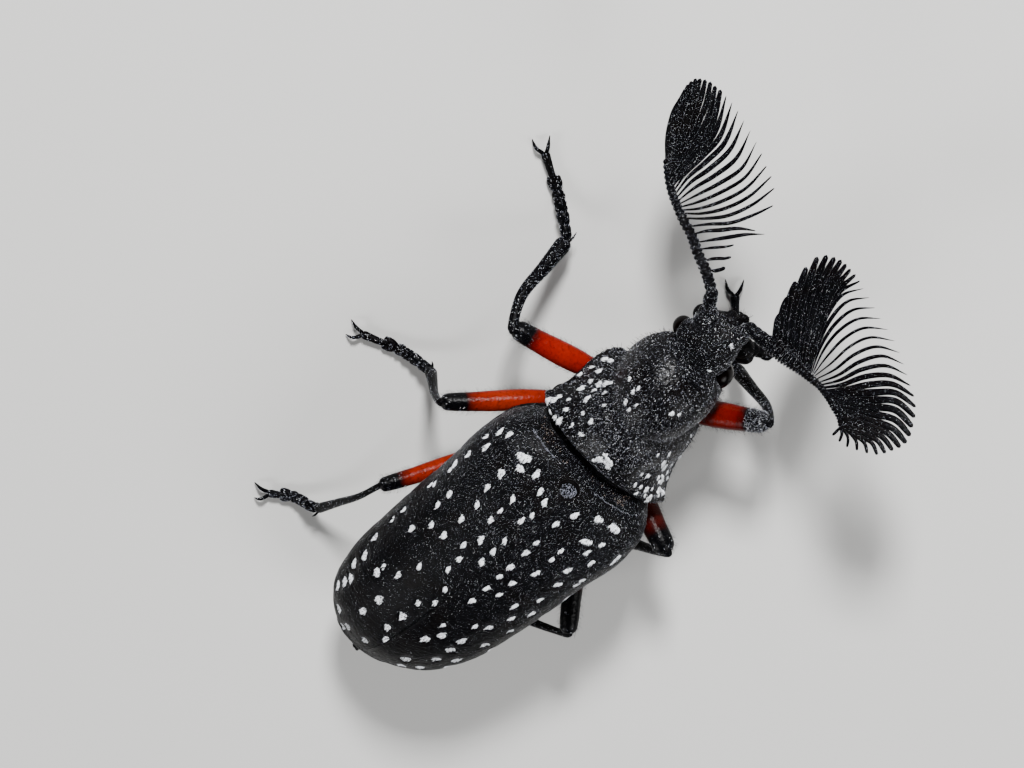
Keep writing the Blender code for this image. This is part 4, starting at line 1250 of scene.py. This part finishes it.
class BEETLE_OT_feelers(bpy.types.Operator):
    """The two fan feelers: scape, ringed stem, and one long flat ray on each ring"""

    bl_idname = "beetle.feelers"
    bl_label = "Feelers"

    def execute(self, context):
        widening = context.scene.beetle_sizes.ray_width / MM / RAY_WIDTH
        for label, spec in FANS.items():
            rng = np.random.default_rng(SEEDS["feelers"] + spec["side"])
            self.scape(label, spec, rng)
            self.fan(label, spec, widening, rng)
        return {"FINISHED"}

    def scape(self, label, spec, rng):
        socket = to_floor(SOCKETS[label])[0]
        start = np.array(spec["scape_end"])
        line = [socket + (start - socket) * share for share in (0.1, 0.45, 0.8, 1.12)]
        points, faces, share = drawn(line, SCAPE_RADII, 28, 36)
        item = Gathered().add(points, faces, share).item(f"scape_{label}")
        press(item, 0.02 * pits(points, 0.12, 5.0))
        skin = Skin(item)
        grow_hairs(f"scape_{label}_hairs", "speck", skin, skin.scatter(260, rng), unit(start - socket), rng,
                   lift=0.6, length=0.06, width=0.016, trunk=False)
        finish(item, "feeler", [f"antenna_{label}_scape"], trunk=False)

    def fan(self, label, spec, widening, rng):
        start = np.array(spec["scape_end"])
        along, out, square = fan_axes(spec)

        def place(a, o, lift=0.0):
            return start + along * a + out * o + square * lift

        stem = [place(a, o) for a, o in spec["stem"]]
        rings = spec["rays"] * RING_STEPS
        girth = np.interp(np.linspace(0, 1, rings), np.linspace(0, 1, len(spec["girth"])), spec["girth"])
        radii = girth * (1.0 + 0.2 * np.sin(2 * math.pi * np.arange(rings) / RING_STEPS))
        fan = Gathered().add(*drawn(stem, radii, 16, rings, steps=160))
        for a, o, radius in spec["beads"]:
            fan.add(*ball_points(place(a, o), radius, 24, 16))
        numbers = np.arange(spec["rays"], dtype=float)
        traced = profile(spec["guides"], numbers).reshape(-1, 5, 2)
        blades = np.array(spec["blades"], float)
        widths, turns, blunts = [np.interp(numbers, blades[:, 0], blades[:, k]) for k in (1, 2, 3)]
        tips = []
        for ray, width, turn, blunt in zip(traced, widths * widening, np.radians(turns), blunts):
            length = np.linalg.norm(ray[-1] - ray[0])
            sway = rng.normal(0, 0.02)
            line = [place(a, o, length * (CUP * k * k / 10 + sway * k / 8)) for k, (a, o) in enumerate(ray)]
            swing = np.cross(square, unit(line[-1] - line[0]))
            flat = square * math.cos(turn) + swing * math.sin(turn)
            shape = RAY_POINTED + (RAY_BLUNT - RAY_POINTED) * blunt
            fan.add(*drawn(line, width / 2 * shape, 10, 34, thin=min(1.0, RAY_THICKNESS / width), flat=flat))
            tips.append(line[-1])
        item = fan.item(f"fan_{label}")
        tufted = np.array(tips[TUFTED_RAYS[label]])
        self.coats(label, Skin(item), along, out, smooth_line(stem, 60), tufted, rng)
        finish(item, "feeler", [f"antenna_{label}_fan"], trunk=False)

    def coats(self, label, skin, along, out, stem, tips, rng):
        grow_hairs(f"fan_{label}_hairs", "speck", skin, skin.scatter(12000, rng), out, rng,
                   lift=0.8, length=0.035, width=0.012, bent=False, stray=0.4, trunk=False)

        def on_stem(at, facing):
            from_stem, from_tips = [np.min(np.linalg.norm(at[:, None] - places[None], axis=2), axis=1)
                                    for places in (stem, tips)]
            return (from_stem < 0.36) * 1.0 + 0.5 * (from_tips < 0.1)

        grow_hairs(f"stem_{label}_hairs", "speck", skin, skin.scatter(3800, rng, on_stem), along, rng,
                   lift=0.6, length=0.045, width=0.014, bent=False, trunk=False)


# Legs

FEMUR_SWELL = (0.62, 0.85, 1.0, 1.03, 1.0, 0.93, 0.9, 0.78)
TIBIA_RADII = (0.21, 0.2, 0.23, 0.26, 0.3, 0.35)
# How much of its bow a tibia has, at shares of its length.
TIBIA_BOW = ((0.0, 0.0), (0.3, 1.0), (0.65, 0.5), (1.0, 0.0))
# How far a tibia starts inside the femur's end.
KNEE_DEPTH = 0.28
# Pale hairs on each tibia, and on each knee with their width, where they aren't the usual ones. The front
# right knee's many fine hairs also paint its glossy highlight.
TIBIA_HAIRS = {"front_left": 1300, "front_right": 1300}
KNEE_HAIRS_AND_HIGHLIGHT = {"front_right": (7500, 0.01)}
HEEL_STEP = 0.45
HEEL_DROP = 0.3
# Shares of the foot, from heel to toe, where its five joints end.
TARSUS_ENDS = (0.0, 0.2, 0.34, 0.46, 0.54, 1.0)
FOOT_HEIGHT = 0.2
# How far the two lobes under each ring of a foot reach forwards.
LOBES = (0.12, 0.16, 0.4, 0.3)
CLAW_RADII = (0.085, 0.07, 0.015)


class BEETLE_OT_legs(bpy.types.Operator):
    """Six legs: red hairy femora with black knees, spurred tibiae, and lobed tarsi with claws"""

    bl_idname = "beetle.legs"
    bl_label = "Legs"

    def execute(self, context):
        for number, (leg, spec) in enumerate(LEGS.items()):
            rng = np.random.default_rng(SEEDS["legs"] + number)
            hip, knee, ankle, toe = (np.array(spec[joint]) for joint in ("hip", "knee", "ankle", "toe"))
            self.femur(leg, spec, hip, knee, rng)
            self.tibia(leg, spec, hip, knee, ankle, unit((toe - ankle) * (1, 1, 0)), rng)
            self.tarsus(leg, ankle, toe, rng)
        return {"FINISHED"}

    def femur(self, leg, spec, hip, knee, rng):
        axis = unit(knee - hip)
        sag = np.array((0.0, 0.0, 0.12))
        line = [hip + (knee - hip) * share + sag * math.sin(math.pi * share)
                for share in (0.06, 0.35, 0.7, 1.0)]
        radii = [spec["thick"] * share for share in FEMUR_SWELL]
        item = limb(f"femur_{leg}", line, radii, 40, 72, blunt=0.8)
        skin = Skin(item)
        grow_hairs(f"femur_{leg}_hairs", "dark_hair", skin, skin.scatter(1100, rng), axis, rng,
                   lift=1.3, length=0.12, width=0.009, trunk=False)
        black_from = 0.8 * np.linalg.norm(knee - hip)
        # The front right knee's dense hairs also paint a glossy highlight.
        amount, width = KNEE_HAIRS_AND_HIGHLIGHT.get(leg, (500, 0.013))
        grown = skin.scatter(amount, rng, lambda at, facing: (((at - hip) @ axis) > black_from) * 1.0)
        grow_hairs(f"knee_{leg}_hairs", "speck", skin, grown, axis, rng,
                   lift=0.4, length=0.06, width=width, trunk=False)
        finish(item, leg, [f"leg_{leg}_femur"], trunk=False)

    def tibia(self, leg, spec, hip, knee, ankle, level, rng):
        axis = unit(ankle - knee)
        bow = np.array(spec["bow"])
        line = [knee - unit(knee - hip) * KNEE_DEPTH]
        line += [knee + (ankle - knee) * share + bow * much for share, much in TIBIA_BOW]
        radii = [radius * spec["slim"] for radius in TIBIA_RADII]
        shank = Gathered().add(*drawn(line, radii, 28, 64, thin=0.9))
        across = unit(np.cross(axis, level))
        for side in (1, -1):
            root = ankle - axis * 0.12 + across * 0.16 * side
            spur = [root, root + axis * 0.22 + across * 0.08 * side, root + axis * 0.5 + across * 0.1 * side]
            shank.add(*drawn(spur, (0.05, 0.045, 0.012), 10, 14))
        item = shank.item(f"tibia_{leg}")
        skin = Skin(item)
        grown = skin.scatter(TIBIA_HAIRS.get(leg, 500), rng)
        grow_hairs(f"tibia_{leg}_hairs", "speck", skin, grown, axis, rng,
                   lift=0.5, length=0.04, width=0.016, trunk=False)
        finish(item, "feeler", [f"leg_{leg}_tibia"], trunk=False)

    def tarsus(self, leg, ankle, toe, rng):
        level = unit((toe - ankle) * (1, 1, 0))
        across = np.cross(level, (0, 0, 1))
        heel = ankle + level * HEEL_STEP - np.array((0, 0, HEEL_DROP))

        def along_foot(share):
            place = heel + (toe - heel) * share
            place[2] = max(FOOT_HEIGHT, heel[2] + (FOOT_HEIGHT - heel[2]) * min(1.0, share / 0.4))
            return place

        foot = Gathered()
        foot.add(*drawn([ankle - level * 0.05, (ankle + heel) / 2 + (0, 0, 0.04), heel + level * 0.1],
                        (0.2, 0.22, 0.24), 16, 14))
        for segment, (from_share, to_share) in enumerate(zip(TARSUS_ENDS, TARSUS_ENDS[1:])):
            start, end = along_foot(from_share) - level * 0.08, along_foot(to_share)
            last = segment == len(LOBES)
            middle = (start + end) / 2 + np.array((0, 0, 0.03))
            radii = (0.12, 0.14, 0.16, 0.19) if last else (0.18, 0.23, 0.26, 0.24)
            foot.add(*drawn([start, middle, end], radii, 18, 20, thin=0.85, flat=(0, 0, 1)))
            if last:
                break
            for side in (1, -1):
                tip = end + level * LOBES[segment] + across * 0.2 * side - (0, 0, 0.04)
                foot.add(*drawn([end - level * 0.15, (end + tip) / 2 + across * 0.06 * side, tip],
                                (0.12, 0.14, 0.1), 12, 14))
        for side in (1, -1):
            base = np.array((toe[0], toe[1], 0.22)) - level * 0.05 + across * 0.06 * side
            hump = base + level * 0.3 + across * 0.18 * side + (0, 0, 0.1)
            tip = base + level * 0.62 + across * 0.3 * side - (0, 0, 0.14)
            foot.add(*drawn([base, hump, tip], CLAW_RADII, 12, 20))
        item = foot.item(f"tarsus_{leg}")
        skin = Skin(item)
        grown = skin.scatter(1000, rng, lambda at, facing: (at[:, 2] > 0.12) * 1.0)
        grow_hairs(f"tarsus_{leg}_hairs", "speck", skin, grown, level, rng,
                   lift=0.7, length=0.05, width=0.015, trunk=False)
        finish(item, "feeler", [f"leg_{leg}_tarsus"], trunk=False)


# Stage

FLOOR_SIZE = 3.0
SKY = (0.9, 0.94, 1.0, 1.0)
SKY_STRENGTH = 0.08
# Each light's place from the camera's target in metres, its size and its power.
LIGHTS = {
    "key_light": ((0.105, -0.175, 0.145), 0.035, 2.1),
    "fill_light": ((-0.2, -0.06, 0.16), 0.12, 0.7),
    "back_light": ((0.06, 0.24, 0.16), 0.12, 0.7),
}


class BEETLE_OT_stage(bpy.types.Operator):
    """A pale floor, soft lights and the camera"""

    bl_idname = "beetle.stage"
    bl_label = "Stage"

    def execute(self, context):
        deselect()
        bpy.ops.mesh.primitive_plane_add(size=FLOOR_SIZE, location=(0.0, 0.0, 0.0))
        floor = context.object
        floor.name = "studio_floor"
        floor.data.materials.append(dress("floor"))
        world = bpy.data.worlds.new("studio_world")
        world.use_nodes = True
        world.node_tree.nodes["Background"].inputs["Color"].default_value = SKY
        world.node_tree.nodes["Background"].inputs["Strength"].default_value = SKY_STRENGTH
        context.scene.world = world
        target = Vector((np.array(TARGET) - SHIFT) * MM)
        for name, (offset, size, power) in LIGHTS.items():
            data = bpy.data.lights.new(name, "AREA")
            data.size = size
            data.energy = power
            lamp = bpy.data.objects.new(name, data)
            context.scene.collection.objects.link(lamp)
            lamp.location = target + Vector(offset)
            lamp.rotation_euler = Vector(offset).to_track_quat("Z", "Y").to_euler()
        self.camera(context, target)
        return {"FINISHED"}

    def camera(self, context, target):
        view = Vector(VIEW).normalized()
        right = Vector(UP).cross(view).normalized()
        place = target + view * CAMERA_DISTANCE * MM
        view += (right * PICTURE_OFFSET[0] - view.cross(right) * PICTURE_OFFSET[1]) / FOCAL_PIXELS
        view.normalize()
        right = Vector(UP).cross(view).normalized()
        up = view.cross(right)
        data = bpy.data.cameras.new("photo_camera")
        data.sensor_width = SENSOR_WIDTH
        data.lens = FOCAL_PIXELS * SENSOR_WIDTH / PIXELS_WIDE
        data.clip_start, data.clip_end = 0.005, 10.0
        camera = bpy.data.objects.new("photo_camera", data)
        context.scene.collection.objects.link(camera)
        turn = Matrix((right, up, view)).transposed()
        camera.matrix_world = Matrix.Translation(place) @ turn.to_4x4()
        context.scene.camera = camera


# Sizes, colours and panel

class BeetleSizes(bpy.types.PropertyGroup):
    """Sizes and amounts that a user would change"""

    speck_hair: FloatProperty(name="Dust hair", description="Length of the shortest hairs on the body",
                              default=0.000042, min=0.00002, max=0.0005, precision=6, unit="LENGTH")
    spot_hair: FloatProperty(name="Spot hair", description="Length of the hairs of the white spots",
                             default=0.00011, min=0.00002, max=0.0005, precision=6, unit="LENGTH")
    specks: FloatProperty(name="Dust density", description="Short hairs on each square millimetre",
                          default=240.0, min=5.0, max=400.0)
    pit_depth: FloatProperty(name="Pit depth", description="Depth of the fine pits in the horn",
                             default=0.000022, min=0.0, max=0.0001, precision=6, unit="LENGTH")
    ray_width: FloatProperty(name="Ray width", description="Width of one flat ray of a feeler",
                             default=0.0002, min=0.00005, max=0.0004, precision=6, unit="LENGTH")


class BeetleColours(bpy.types.PropertyGroup):
    """Colours of the horn, the hairs and the floor"""

    cuticle: FloatVectorProperty(name="Horn", description="Black of the body", subtype="COLOR",
                                 default=(0.0007, 0.0007, 0.001), min=0.0, max=1.0)
    femur: FloatVectorProperty(name="Femora tint", description="Tint over the reds of the femora",
                               subtype="COLOR", default=(1.0, 1.0, 1.0), min=0.0, max=1.0)
    eye: FloatVectorProperty(name="Eyes", description="Dark brown of the eyes", subtype="COLOR",
                             default=(0.0012, 0.0005, 0.0004), min=0.0, max=1.0)
    # The white of the spot hairs and the grey of the dust hairs are their own; their blue tint is a painted
    # bluish sheen.
    white_hair: FloatVectorProperty(name="Spot hairs", description="White of the spots", subtype="COLOR",
                                    default=(0.86, 0.88, 0.92), min=0.0, max=1.0)
    speck_hair: FloatVectorProperty(name="Dust hairs", description="Grey of the short hairs",
                                    subtype="COLOR", default=(0.38, 0.4, 0.5), min=0.0, max=1.0)
    floor: FloatVectorProperty(name="Floor", description="Pale grey of the studio floor", subtype="COLOR",
                               default=(0.44, 0.436, 0.425), min=0.0, max=1.0)


class BEETLE_PT_panel(bpy.types.Panel):
    """Lists the beetle's pieces, sizes and colours"""

    bl_idname = "BEETLE_PT_panel"
    bl_label = "Feather-horned beetle"
    bl_space_type = "VIEW_3D"
    bl_region_type = "UI"
    bl_category = "Beetle"

    def draw(self, context):
        layout = self.layout
        for operator in OPERATORS:
            layout.operator(operator.bl_idname)
        for group in (context.scene.beetle_sizes, context.scene.beetle_colours):
            box = layout.box()
            for name in group.__annotations__:
                box.prop(group, name)


OPERATORS = (
    BEETLE_OT_stage, BEETLE_OT_wing_cases, BEETLE_OT_pronotum, BEETLE_OT_underbody, BEETLE_OT_head,
    BEETLE_OT_feelers, BEETLE_OT_legs,
)
CLASSES = (BeetleSizes, BeetleColours, *OPERATORS, BEETLE_PT_panel)


def register():
    for item in CLASSES:
        bpy.utils.register_class(item)
    bpy.types.Scene.beetle_sizes = PointerProperty(type=BeetleSizes)
    bpy.types.Scene.beetle_colours = PointerProperty(type=BeetleColours)


def unregister():
    del bpy.types.Scene.beetle_colours
    del bpy.types.Scene.beetle_sizes
    for item in reversed(CLASSES):
        bpy.utils.unregister_class(item)


def main():
    register()
    deselect()
    bpy.ops.beetle.stage()
    bpy.ops.beetle.wing_cases()
    bpy.ops.beetle.pronotum()
    bpy.ops.beetle.underbody()
    bpy.ops.beetle.head()
    bpy.ops.beetle.feelers()
    bpy.ops.beetle.legs()


if __name__ == "__main__":
    main()
